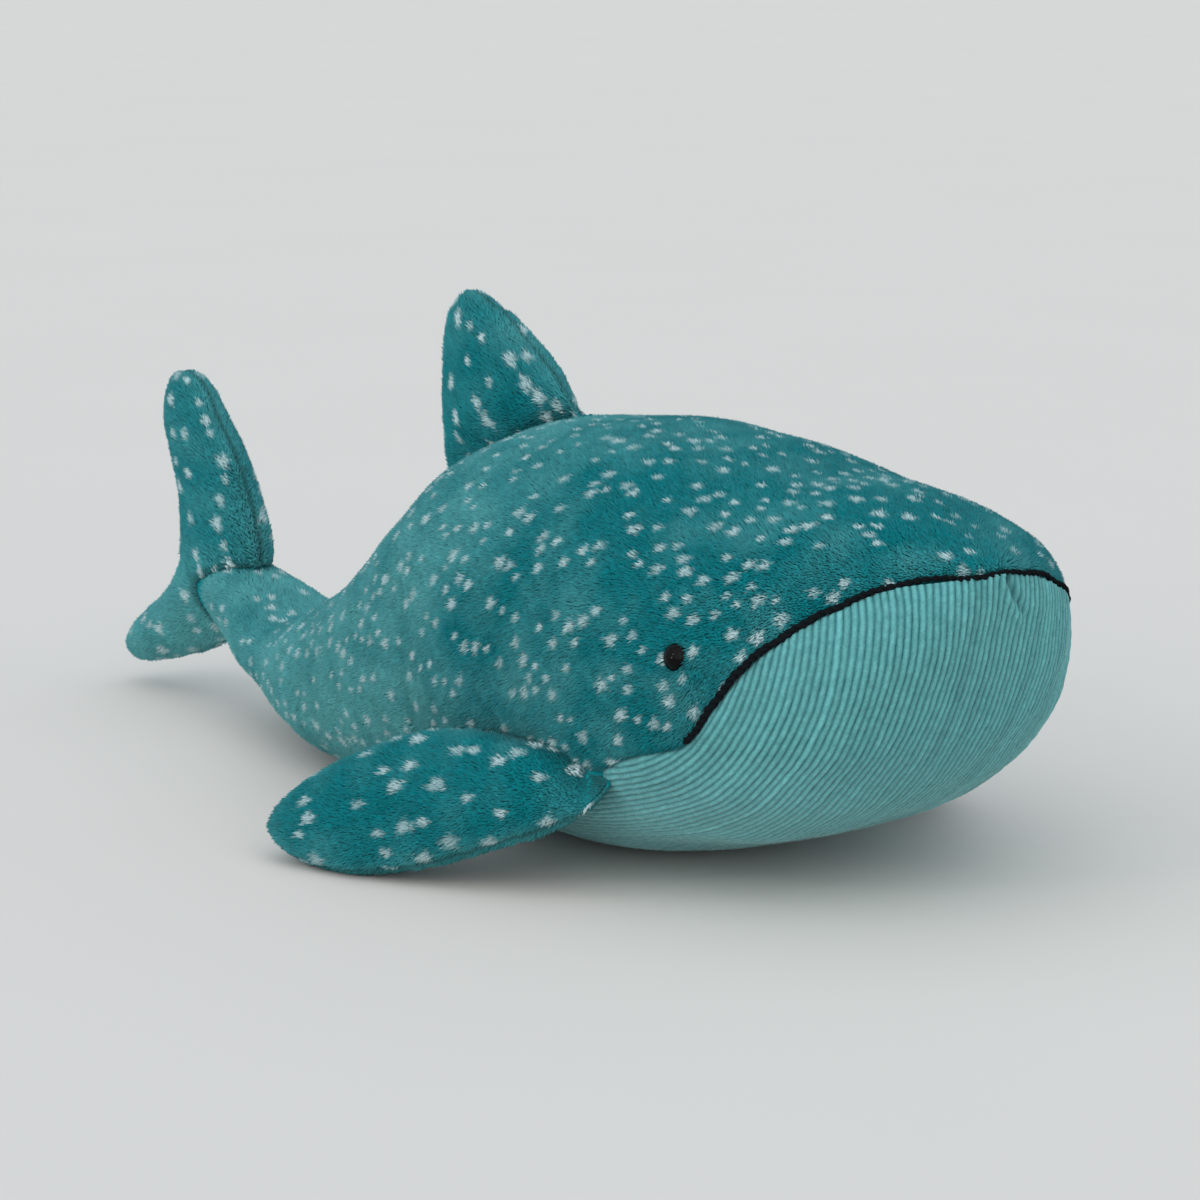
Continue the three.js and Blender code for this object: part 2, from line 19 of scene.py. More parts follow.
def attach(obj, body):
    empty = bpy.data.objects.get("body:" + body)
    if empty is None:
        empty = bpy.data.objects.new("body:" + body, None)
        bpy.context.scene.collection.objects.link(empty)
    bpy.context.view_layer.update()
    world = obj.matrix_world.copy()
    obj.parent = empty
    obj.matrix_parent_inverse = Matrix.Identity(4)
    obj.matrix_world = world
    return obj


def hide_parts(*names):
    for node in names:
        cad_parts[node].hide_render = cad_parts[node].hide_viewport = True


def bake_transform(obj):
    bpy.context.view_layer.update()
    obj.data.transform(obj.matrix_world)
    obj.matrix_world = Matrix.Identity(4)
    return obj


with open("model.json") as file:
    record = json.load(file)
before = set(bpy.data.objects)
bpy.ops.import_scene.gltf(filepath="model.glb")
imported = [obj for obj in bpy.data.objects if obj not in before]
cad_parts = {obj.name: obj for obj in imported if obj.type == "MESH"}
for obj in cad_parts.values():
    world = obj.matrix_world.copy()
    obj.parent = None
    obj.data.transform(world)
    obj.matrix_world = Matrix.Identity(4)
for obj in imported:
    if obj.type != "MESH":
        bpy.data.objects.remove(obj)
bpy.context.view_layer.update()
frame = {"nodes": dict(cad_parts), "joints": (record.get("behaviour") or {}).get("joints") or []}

log = logging.getLogger("whale_shark")

Colour = tuple[float, float, float]
Place = tuple[float, float, float]
Stations = tuple[tuple[float, float, float, float], ...]

MM = 0.001
TURN = 2.0 * math.pi
TAIL_HINGE_X = -200.0
FIN_HINGE_X = -284.0
SWAY = next(np.array(joint["pos_m"]) for joint in frame["joints"] if joint["name"] == "tail_sway")
SHIFT_X = SWAY[0] / MM - TAIL_HINGE_X
SWAY_REACH = 30.0  # how far from a joint its cloth starts and stops turning
FOLD_REACH = 14.0
FLOP_REACH = 22.0
SWING_REACH = 24.0
FLOOR_CLEARANCE = 0.25
CLOTH_CLEARANCE = FLOOR_CLEARANCE + 0.35  # cloth keeps this much more room for its pile


class Side(Enum):
    """A side of the toy, as the sign of its Y."""

    LEFT = 1
    RIGHT = -1

    @property
    def word(self) -> str:
        """The side's name in piece names."""
        return self.name.lower()


def row(points: np.ndarray) -> np.ndarray:
    """Points of the drawing frame, in millimetres, as metres in the row frame."""
    return (np.asarray(points, float) + [SHIFT_X, 0.0, 0.0]) * MM


def unit(vectors: np.ndarray) -> np.ndarray:
    """Vectors along the last axis at length one."""
    return vectors / np.maximum(np.linalg.norm(vectors, axis=-1, keepdims=True), 1e-12)


def fade(low: float, high: float, values: np.ndarray) -> np.ndarray:
    """Smooth step: 0 below low, 1 above high, and 3t^2 - 2t^3 between them."""
    share = np.clip((values - low) / (high - low), 0.0, 1.0)
    return share * share * (3.0 - 2.0 * share)


def distances(line: np.ndarray) -> np.ndarray:
    """Distance of each point of a line from its first, measured along it."""
    return np.concatenate([[0.0], np.cumsum(np.linalg.norm(np.diff(line, axis=0), axis=1))])


def through(stations: np.ndarray, places: np.ndarray, column: int) -> np.ndarray:
    """Smooth curve through a column of stations, whose first column is the place.

    Each span is a cubic whose end slopes are those of the lines between the
    neighbouring stations. Past the last station the curve runs on straight.

    Args:
        stations: one row a station, place first.
        places: where the curve is read.
        column: the column of the wanted value.

    Returns:
        The curve's value at each place.
    """
    at, value = stations[:, 0], stations[:, column]
    index = np.arange(len(at))
    low, high = np.maximum(index - 1, 0), np.minimum(index + 1, len(at) - 1)
    slope = (value[high] - value[low]) / (at[high] - at[low])
    i = np.searchsorted(at[1:-1], places, side="left")
    span = at[i + 1] - at[i]
    t = (places - at[i]) / span
    cubic = (
        value[i] * (2 * t**3 - 3 * t**2 + 1)
        + slope[i] * span * (t**3 - 2 * t**2 + t)
        + value[i + 1] * (3 * t**2 - 2 * t**3)
        + slope[i + 1] * span * (t**3 - t**2)
    )
    beyond = value[-1] + (places - at[-1]) * slope[-1]
    return np.where(places > at[-1], beyond, cubic)


def drift(points: np.ndarray, wavelength: float, seed: int) -> np.ndarray:
    """Smooth unevenness in space, about -1 to 1.

    It is the sum of eight sine waves of about one wavelength, in directions and
    phases drawn from the seed.

    Args:
        points: places in millimetres, along the last axis.
        wavelength: the waves' mean length in millimetres.
        seed: number of the random draw.

    Returns:
        One value a point.
    """
    rng = np.random.default_rng(seed)
    waves = 8
    ways = unit(rng.normal(size=(waves, 3))) * rng.uniform(0.7, 1.4, (waves, 1))
    phases = rng.uniform(0.0, TURN, waves)
    total = np.zeros(points.shape[:-1])
    for way, phase in zip(ways, phases):
        total += np.sin(points @ way * (TURN / wavelength) + phase)
    return total / math.sqrt(waves * 2.0)


def normals_of(points: np.ndarray, outward: np.ndarray) -> np.ndarray:
    """Normals of a grid: the cross product of its two slopes, turned outwards.

    Args:
        points: the grid, rows by columns by three.
        outward: for each point a direction that leaves the piece there.

    Returns:
        Unit normals of the same shape.
    """
    normal = unit(np.cross(np.gradient(points, axis=0), np.gradient(points, axis=1)))
    sign = np.sign((normal * outward).sum(-1, keepdims=True))
    return normal * np.where(sign == 0.0, 1.0, sign)


def grid_faces(rows: int, columns: int, wrap: bool = False) -> np.ndarray:
    """Quads of a grid of points numbered row by row.

    Args:
        rows: number of rows of points.
        columns: number of points in a row.
        wrap: joins the last column to the first.

    Returns:
        One row of four corner numbers a quad.
    """
    number = np.arange(rows * columns).reshape(rows, columns)
    if wrap:
        number = np.concatenate([number, number[:, :1]], axis=1)
    corners = [number[:-1, :-1], number[:-1, 1:], number[1:, 1:], number[1:, :-1]]
    return np.stack(corners, axis=-1).reshape(-1, 4)


def turned_outwards(points: np.ndarray, faces: np.ndarray, outward: np.ndarray) -> np.ndarray:
    """Faces whose corner order makes most of their normals follow outward.

    Args:
        points: corners.
        faces: corner numbers.
        outward: for each corner a direction out of the piece.

    Returns:
        The faces, reversed where most pointed inwards.
    """
    a, b, c = (points[faces[:, k]] for k in range(3))
    facing = (np.cross(b - a, c - a) * outward[faces[:, 0]]).sum()
    return faces if facing >= 0.0 else faces[:, ::-1]


def build_object(
    name: str,
    points: np.ndarray,
    faces: np.ndarray,
    material: bpy.types.Material,
    uv: np.ndarray | None = None,
    colours: np.ndarray | None = None,
) -> bpy.types.Object:
    """A smooth shaded mesh object at the origin.

    Args:
        name: the piece's name.
        points: corners in the drawing frame, in millimetres.
        faces: corner numbers, three or four a face.
        material: its finish.
        uv: a place on the flat map for each corner of each face.
        colours: a linear colour for each point, kept as the attribute "dye".

    Returns:
        The new object.
    """
    mesh = bpy.data.meshes.new(name)
    sides = faces.shape[1]
    mesh.vertices.add(len(points))
    mesh.vertices.foreach_set("co", row(points).astype(np.float32).ravel())
    mesh.loops.add(faces.size)
    mesh.loops.foreach_set("vertex_index", faces.astype(np.int32).ravel())
    mesh.polygons.add(len(faces))
    mesh.polygons.foreach_set("loop_start", np.arange(0, faces.size, sides, dtype=np.int32))
    mesh.update(calc_edges=True)
    mesh.polygons.foreach_set("use_smooth", np.ones(len(faces), bool))
    if uv is not None:
        mesh.uv_layers.new(name="OFBake").data.foreach_set("uv", uv.astype(np.float32).ravel())
    if colours is not None:
        dye = mesh.attributes.new("dye", "FLOAT_COLOR", "POINT")
        rgba = np.concatenate([colours, np.ones((len(colours), 1))], axis=1)
        dye.data.foreach_set("color", rgba.astype(np.float32).ravel())
    mesh.materials.append(material)
    piece = bpy.data.objects.new(name, mesh)
    bpy.context.scene.collection.objects.link(piece)
    return piece


def grid_map(rows: int, columns: int, faces: np.ndarray) -> np.ndarray:
    """Flat map of the faces of a grid: column across and row up, both from 0 to 1."""
    up, across = np.divmod(faces.ravel(), columns)
    return np.stack([across / (columns - 1), up / (rows - 1)], axis=1) * 0.98 + 0.01


def shell(
    name: str, cloth: "Cloth", thickness: float, material: bpy.types.Material
) -> bpy.types.Object:
    """Closed cloth of a thickness whose outer face is a grid of points.

    The inner face is the same grid moved inwards along the normals, and strips
    round the rim join the two. The outer face fills the left half of the flat map
    and the inner one the right half.

    Args:
        name: the piece's name.
        cloth: the outer face.
        thickness: of the cloth.
        material: its finish.

    Returns:
        The new object.
    """
    rows, columns = cloth.points.shape[:2]
    count = rows * columns
    outer, normals = cloth.points.reshape(-1, 3), cloth.normals.reshape(-1, 3)
    corners = np.concatenate([outer, outer - normals * thickness])
    front = turned_outwards(outer, grid_faces(rows, columns), normals)
    back = front[:, ::-1] + count
    number = np.arange(count).reshape(rows, columns)
    rim = np.concatenate([number[0, :], number[1:, -1], number[-1, -2::-1], number[-2:0:-1, 0]])
    after = np.roll(rim, -1)
    strip = np.stack([rim, after, after + count, rim + count], axis=1)
    if front[0, 0] == 0:
        strip = strip[:, ::-1]
    faces = np.concatenate([front, back, strip])
    at = np.concatenate([grid_map(rows, columns, front), grid_map(rows, columns, back - count)])
    at[:, 0] *= 0.5
    at[len(front) * 4 :, 0] += 0.5
    corner = [[0.001, 0.001], [0.004, 0.001], [0.004, 0.004], [0.001, 0.004]]
    uv = np.concatenate([at, np.tile(corner, (len(strip), 1))])
    return build_object(name, corners, faces, material, uv)


def capped_tube(
    name: str, points: np.ndarray, away: np.ndarray, material: bpy.types.Material
) -> bpy.types.Object:
    """A closed tube through rings of points, whose two ends are fans to their middles.

    Args:
        name: the piece's name.
        points: one row a ring, by the points round it, by three.
        away: for each point a direction out of the tube.
        material: its finish.

    Returns:
        The new object.
    """
    rows, columns = points.shape[:2]
    flat = np.concatenate([points.reshape(-1, 3), [points[0].mean(0), points[-1].mean(0)]])
    quads = grid_faces(rows, columns, wrap=True)
    first = np.arange(columns)
    after = (first + 1) % columns
    last = (rows - 1) * columns
    start = np.stack([np.full(columns, rows * columns), after, first], axis=1)
    end = np.stack([np.full(columns, rows * columns + 1), first + last, after + last], axis=1)
    triangles = np.concatenate([quads[:, [0, 1, 2]], quads[:, [0, 2, 3]], start, end])
    outward = np.concatenate([away.reshape(-1, 3), np.zeros((2, 3))])
    return build_object(name, flat, turned_outwards(flat, triangles, outward), material)


def merge_doubles(mesh: bpy.types.Mesh) -> None:
    """Merges points that lie on each other, such as those of a pole.

    Args:
        mesh: the mesh, changed in place.
    """
    work = bmesh.new()
    work.from_mesh(mesh)
    bmesh.ops.remove_doubles(work, verts=work.verts, dist=1e-6)
    work.to_mesh(mesh)
    work.free()


def set_values(node: bpy.types.Node, **values: object) -> None:
    """Sets a node's properties and inputs.

    Args:
        node: the node.
        values: properties, or inputs by name with blanks as underscores. A colour
            may leave out its fourth value.
    """
    for key, value in values.items():
        if hasattr(node, key):
            setattr(node, key, value)
            continue
        if isinstance(value, tuple) and len(value) == 3:
            value = (*value, 1.0)
        node.inputs[key.replace("_", " ")].default_value = value


@dataclass(frozen=True)
class Graph:
    """A tree of shader nodes."""

    tree: bpy.types.NodeTree

    def add(self, kind: str, **values: object) -> bpy.types.Node:
        """A new node.

        Args:
            kind: the node's type name after ShaderNode.
            values: as set_values() takes them.

        Returns:
            The node.
        """
        node = self.tree.nodes.new("ShaderNode" + kind)
        set_values(node, **values)
        return node

    def link(
        self, node: bpy.types.Node, output: str | int, target: bpy.types.Node, entry: str | int
    ) -> None:
        """Links a node's output to an input of another node."""
        self.tree.links.new(node.outputs[output], target.inputs[entry])


@dataclass(frozen=True)
class Look(Graph):
    """The nodes of a material, from the coordinates to the shader."""

    shader: bpy.types.Node
    place: bpy.types.Node

    def texture(self, kind: str, **values: object) -> bpy.types.Node:
        """A texture node that is read at the piece's own coordinates.

        Args:
            kind: the node's type name after ShaderNodeTex.
            values: as set_values() takes them.

        Returns:
            The node.
        """
        node = self.add("Tex" + kind, **values)
        self.link(self.place, "Object", node, "Vector")
        return node

    def between(self, noise: bpy.types.Node, low: float, high: float) -> bpy.types.Node:
        """A noise as a value between two limits.

        Args:
            noise: the noise.
            low: the value where the noise is 0.
            high: the value where it is 1.

        Returns:
            A node whose output Result is the value.
        """
        node = self.add("MapRange", To_Min=low, To_Max=high)
        self.link(noise, "Fac", node, "Value")
        return node

    def tones(self, node: bpy.types.Node, output: str, dark: Colour, light: Colour) -> None:
        """Colours the material between two tones.

        Args:
            node: a node that gives the share of the second tone.
            output: its output.
            dark: the first tone.
            light: the second tone.
        """
        mix = self.add("MixRGB", Color1=dark, Color2=light)
        self.link(node, output, mix, "Fac")
        self.link(mix, "Color", self.shader, "Base Color")

    def dyed(self, node: bpy.types.Node, output: str) -> None:
        """Colours the material by the attribute dye times a node's output.

        Args:
            node: the node.
            output: its output.
        """
        dye = self.add("Attribute", attribute_name="dye")
        mix = self.add("VectorMath", operation="SCALE")
        self.link(dye, "Color", mix, 0)
        self.link(node, output, mix, "Scale")
        self.link(mix, "Vector", self.shader, "Base Color")

    def bump(self, node: bpy.types.Node, output: str, strength: float, distance: float) -> None:
        """Raises the surface by a node's output.

        Args:
            node: the node.
            output: its output.
            strength: of the effect.
            distance: height of the bumps in metres.
        """
        bump = self.add("Bump", Strength=strength, Distance=distance)
        self.link(node, output, bump, "Height")
        self.link(bump, "Normal", self.shader, "Normal")


@dataclass(frozen=True)
class Finish:
    """A material with a name, whose look the kinds of finish below add."""

    name: str

    def build(self) -> bpy.types.Material:
        """The new material, with its own look.

        Returns:
            The material.
        """
        material = bpy.data.materials.new(self.name)
        material.use_nodes = True
        tree = material.node_tree
        place = tree.nodes.new("ShaderNodeTexCoord")
        self.dress(Look(tree, tree.nodes["Principled BSDF"], place))
        return material

    def dress(self, look: Look) -> None:
        """Adds the look."""
        raise NotImplementedError


@dataclass(frozen=True)
class PileFinish(Finish):
    """Dyed tufts of plush: the attribute dye, with a fine unevenness and a soft sheen."""

    sheen: float = 0.12
    roughness: float = 0.9

    def dress(self, look: Look) -> None:
        """Adds the look.

        Args:
            look: the material's nodes.
        """
        patches = look.texture("Noise", Scale=45.0, Detail=3.0)
        look.dyed(look.between(patches, 0.9, 1.1), "Result")
        set_values(look.shader, Roughness=self.roughness, Specular_IOR_Level=0.05)
        set_values(look.shader, Sheen_Weight=self.sheen, Sheen_Roughness=0.4)
        set_values(look.shader, Sheen_Tint=(0.40, 0.90, 0.90))


@dataclass(frozen=True)
class BackingFinish(Finish):
    """Knitted backing that the pile stands in: a pattern of small cells for the stitches."""

    colour: Colour

    def dress(self, look: Look) -> None:
        """Adds the look.

        Args:
            look: the material's nodes.
        """
        knit = look.texture("Voronoi", Scale=1400.0)
        look.tones(knit, "Distance", *(tuple(c * tone for c in self.colour) for tone in (0.75, 1.25)))
        look.bump(knit, "Distance", 0.4, 0.0004)
        set_values(look.shader, Roughness=0.95, Specular_IOR_Level=0.1)


@dataclass(frozen=True)
class CorduroyFinish(Finish):
    """Cut ribs of corduroy: the attribute dye gives the ribs, with painted shade in the valleys, and noise
    the hair on them.
    """

    crest: Colour
    # painted shade: the valleys' tone, much darker than the crests
    shaded_valley: Colour
    painted_low_light: Colour = (0.250, 0.470, 0.485)  # painted light: paler tone of the ribs low down, where light from the floor reaches the belly

    def dress(self, look: Look) -> None:
        """Adds the look.

        Args:
            look: the material's nodes.
        """
        hair = look.texture("Noise", Scale=1100.0, Detail=3.0)
        patches = look.texture("Noise", Scale=30.0, Detail=3.0)
        both = look.add("Math", operation="MULTIPLY")
        look.link(look.between(patches, 0.88, 1.12), "Result", both, 0)
        look.link(look.between(hair, 0.68, 1.32), "Result", both, 1)
        look.dyed(both, "Value")
        look.bump(hair, "Fac", 0.7, 0.0004)
        set_values(look.shader, Roughness=0.9, Specular_IOR_Level=0.08)
        set_values(look.shader, Sheen_Weight=0.5, Sheen_Roughness=0.3, Sheen_Tint=(0.8, 0.9, 0.9))


@dataclass(frozen=True)
class ThreadFinish(Finish):
    """Spun fibre, such as yarn, filling or a woven pouch: one noise gives tones and bump."""

    dark: Colour
    light: Colour
    scale: float
    depth: float
    roughness: float = 1.0
    shine: float = 0.2

    def dress(self, look: Look) -> None:
        """Adds the look.

        Args:
            look: the material's nodes.
        """
        fibre = look.texture("Noise", Scale=self.scale, Detail=4.0, Roughness=0.65)
        look.tones(fibre, "Fac", self.dark, self.light)
        look.bump(fibre, "Fac", 0.6, self.depth)
        set_values(look.shader, Roughness=self.roughness, Specular_IOR_Level=self.shine)


@dataclass(frozen=True)
class PlasticFinish(Finish):
    """Moulded plastic, glossy or matt, with faint wear in its shine."""

    colour: Colour
    roughness: float
    shine: float = 0.4

    def dress(self, look: Look) -> None:
        """Adds the look.

        Args:
            look: the material's nodes.
        """
        wear = look.texture("Noise", Scale=600.0, Detail=3.0)
        rough = look.between(wear, self.roughness * 0.8, self.roughness * 1.3)
        look.link(rough, "Result", look.shader, "Roughness")
        set_values(look.shader, Base_Color=self.colour, Specular_IOR_Level=self.shine)


@dataclass(frozen=True)
class FloorFinish(Finish):
    """Matt paper of one colour with broad, faint clouds in it."""

    colour: Colour
    clouds: float = 0.015

    def dress(self, look: Look) -> None:
        """Adds the look.

        Args:
            look: the material's nodes.
        """
        noise = look.texture("Noise", Scale=4.0, Detail=2.0)
        tones = (1.0 - self.clouds, 1.0 + self.clouds)
        look.tones(noise, "Fac", *(tuple(c * tone for c in self.colour) for tone in tones))
        set_values(look.shader, Roughness=0.7, Specular_IOR_Level=0.2)


@dataclass(frozen=True)
class Dyes:
    """Linear colours of the plush."""

    deep: Colour = (0.003, 0.215, 0.248)
    # pale: the same teal painted lighter, where light falls more on the pile
    pale: Colour = (0.125, 0.445, 0.465)
    spot: Colour = (0.68, 0.82, 0.84)
    root: float = 0.92  # tone of a tuft's root, darker as painted shade deep in the pile
    tip: float = 1.02  # and of its tip, a little lighter as painted light on the tips

    def ground(self, painted_light: np.ndarray) -> np.ndarray:
        """Colour of the unspotted plush, from deep to pale by its share of painted light on the pile."""
        return np.array(self.deep) * (1.0 - painted_light[:, None]) + np.array(self.pale) * painted_light[:, None]


@dataclass
class Finishes:
    """The materials, built once, and the dyes of the pile."""

    pile: bpy.types.Material
    backing: bpy.types.Material
    corduroy: bpy.types.Material
    yarn: bpy.types.Material
    filling: bpy.types.Material
    pouch: bpy.types.Material
    bead: bpy.types.Material
    washer: bpy.types.Material
    dyes: Dyes


@dataclass(frozen=True)
class Bend:
    """Cloth that crosses a joint: its two bodies and where it starts and stops turning."""

    near: str
    far: str
    start: np.ndarray
    end: np.ndarray


def enrol(
    piece: bpy.types.Object,
    slot: str,
    body: str | Bend,
    nodes: tuple[str, ...] = (),
) -> bpy.types.Object:
    """Parents a finished piece to the body it rides on, or bakes its place in if it crosses a bend, hides
    the nodes it stands for, and reports it.

    Args:
        piece: the piece.
        slot: name of its finish.
        body: the body that it rides on, or the bend that it crosses.
        nodes: the nodes that it stands for.

    Returns:
        The same piece.
    """
    if isinstance(body, Bend):
        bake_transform(piece)
    else:
        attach(piece, body)
    if nodes:
        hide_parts(*nodes)
    log.info("%s: %d faces of %s", piece.name, len(piece.data.polygons), slot)
    return piece


@dataclass
class Cloth:
    """A grid of plush, or places on it: points, normals, lay of the pile, distance to the seam."""

    points: np.ndarray
    normals: np.ndarray
    lay: np.ndarray
    seam: np.ndarray

    def where(self, keep: np.ndarray) -> "Cloth":
        """The places that a mask keeps, or those that a row of numbers names."""
        return Cloth(self.points[keep], self.normals[keep], self.lay[keep], self.seam[keep])

    def spread(self, density: float, rng: np.random.Generator) -> "Cloth":
        """Places spread evenly over a grid.

        The cells are walked row by row, and a place is set each time their summed
        area grows by one tuft's share, then moved by a random part of the spacing.

        Args:
            density: places to a square millimetre.
            rng: the random draw.

        Returns:
            The places.
        """
        p = self.points
        diagonals = np.cross(p[1:, 1:] - p[:-1, :-1], p[1:, :-1] - p[:-1, 1:])
        share = (np.linalg.norm(diagonals, axis=-1) * 0.5 * density).ravel()
        total = np.cumsum(share)
        steps = np.arange(int(total[-1])) + 0.5
        cell = np.minimum(np.searchsorted(total, steps), len(share) - 1)
        across = 1.0 - (total[cell] - steps) / np.maximum(share[cell], 1e-9)
        rows, columns = p.shape[0] - 1, p.shape[1] - 1
        i, j = np.divmod(cell, columns)
        wobble = (rng.random(len(cell)) - 0.5) * 0.8 / np.maximum(share[cell], 0.05)
        u = np.clip(i + rng.random(len(cell)), 0.0, rows - 1e-6)
        v = np.clip(j + across + wobble, 0.0, columns - 1e-6)
        i, j = u.astype(int), v.astype(int)
        fu, fv = (u - i)[:, None], (v - j)[:, None]

        def between(grid: np.ndarray) -> np.ndarray:
            """Bilinear value of a grid at the places.

            Args:
                grid: rows by columns by any number of values.

            Returns:
                One row a place.
            """
            low = grid[i, j] * (1 - fv) + grid[i, j + 1] * fv
            high = grid[i + 1, j] * (1 - fv) + grid[i + 1, j + 1] * fv
            return low * (1 - fu) + high * fu

        normals, lay = unit(between(self.normals)), unit(between(self.lay))
        return Cloth(between(p), normals, lay, between(self.seam[..., None])[:, 0])


@dataclass(frozen=True)
class Spots:
    """Pale spots woven into the plush."""

    each: float  # square millimetres of plush to a spot
    apart: float  # least distance between two spots
    radius: float
    stretch: float = 1.25  # how much longer they are along the pile's lay
    tries: int = 6  # places looked at for each spot
    batch: int = 20000  # tufts that are measured against the spots at once

    def scatter(self, cloth: Cloth, rng: np.random.Generator) -> Cloth:
        """Spot centres drawn at random, none closer than the least distance.

        Args:
            cloth: the surface.
            rng: the random draw.

        Returns:
            The centres.
        """
        places = cloth.spread(self.tries / self.each, rng)
        order = rng.permutation(len(places.points))
        wanted = len(order) // self.tries
        chosen: list[int] = []
        for k in order:
            near = places.points[chosen] - places.points[k]
            if not chosen or (near**2).sum(1).min() > self.apart**2:
                chosen.append(k)
            if len(chosen) == wanted:
                break
        return places.where(np.array(chosen))

    def paleness(self, tufts: Cloth, centres: Cloth, rng: np.random.Generator) -> np.ndarray:
        """How pale each tuft is, from 0 to 1.

        A spot is a star: its edge radius is the spot's own radius times one plus a
        cosine of five and one of three turns, longer along the pile's lay.

        Args:
            tufts: the tufts' places.
            centres: the spots' centres.
            rng: the random draw.

        Returns:
            One value a tuft.
        """
        count = len(centres.points)
        size = self.radius * rng.uniform(0.7, 1.3, count)
        five, three = rng.uniform(0.0, TURN, (2, count))
        nearest = np.empty(len(tufts.points), int)
        spots = centres.points.astype(np.float32)
        for start in range(0, len(nearest), self.batch):
            part = tufts.points[start : start + self.batch].astype(np.float32)
            gap = (part**2).sum(1)[:, None] + (spots**2).sum(1)[None] - 2.0 * part @ spots.T
            nearest[start : start + self.batch] = gap.argmin(1)
        away = tufts.points - centres.points[nearest]
        lay = centres.lay[nearest]
        beside = np.cross(centres.normals[nearest], lay)
        along = (away * lay).sum(1) / self.stretch
        across = (away * beside).sum(1)
        angle = np.arctan2(across, along)
        star = 1.0 + 0.13 * np.cos(5 * angle + five[nearest]) + 0.12 * np.cos(3 * angle + three[nearest])
        reach = np.hypot(along, across) / (size[nearest] * star)
        strength = rng.uniform(0.62, 1.0, count)[nearest]
        return strength * (1.0 - fade(0.45, 1.6, reach + rng.normal(0.0, 0.2, len(reach))))


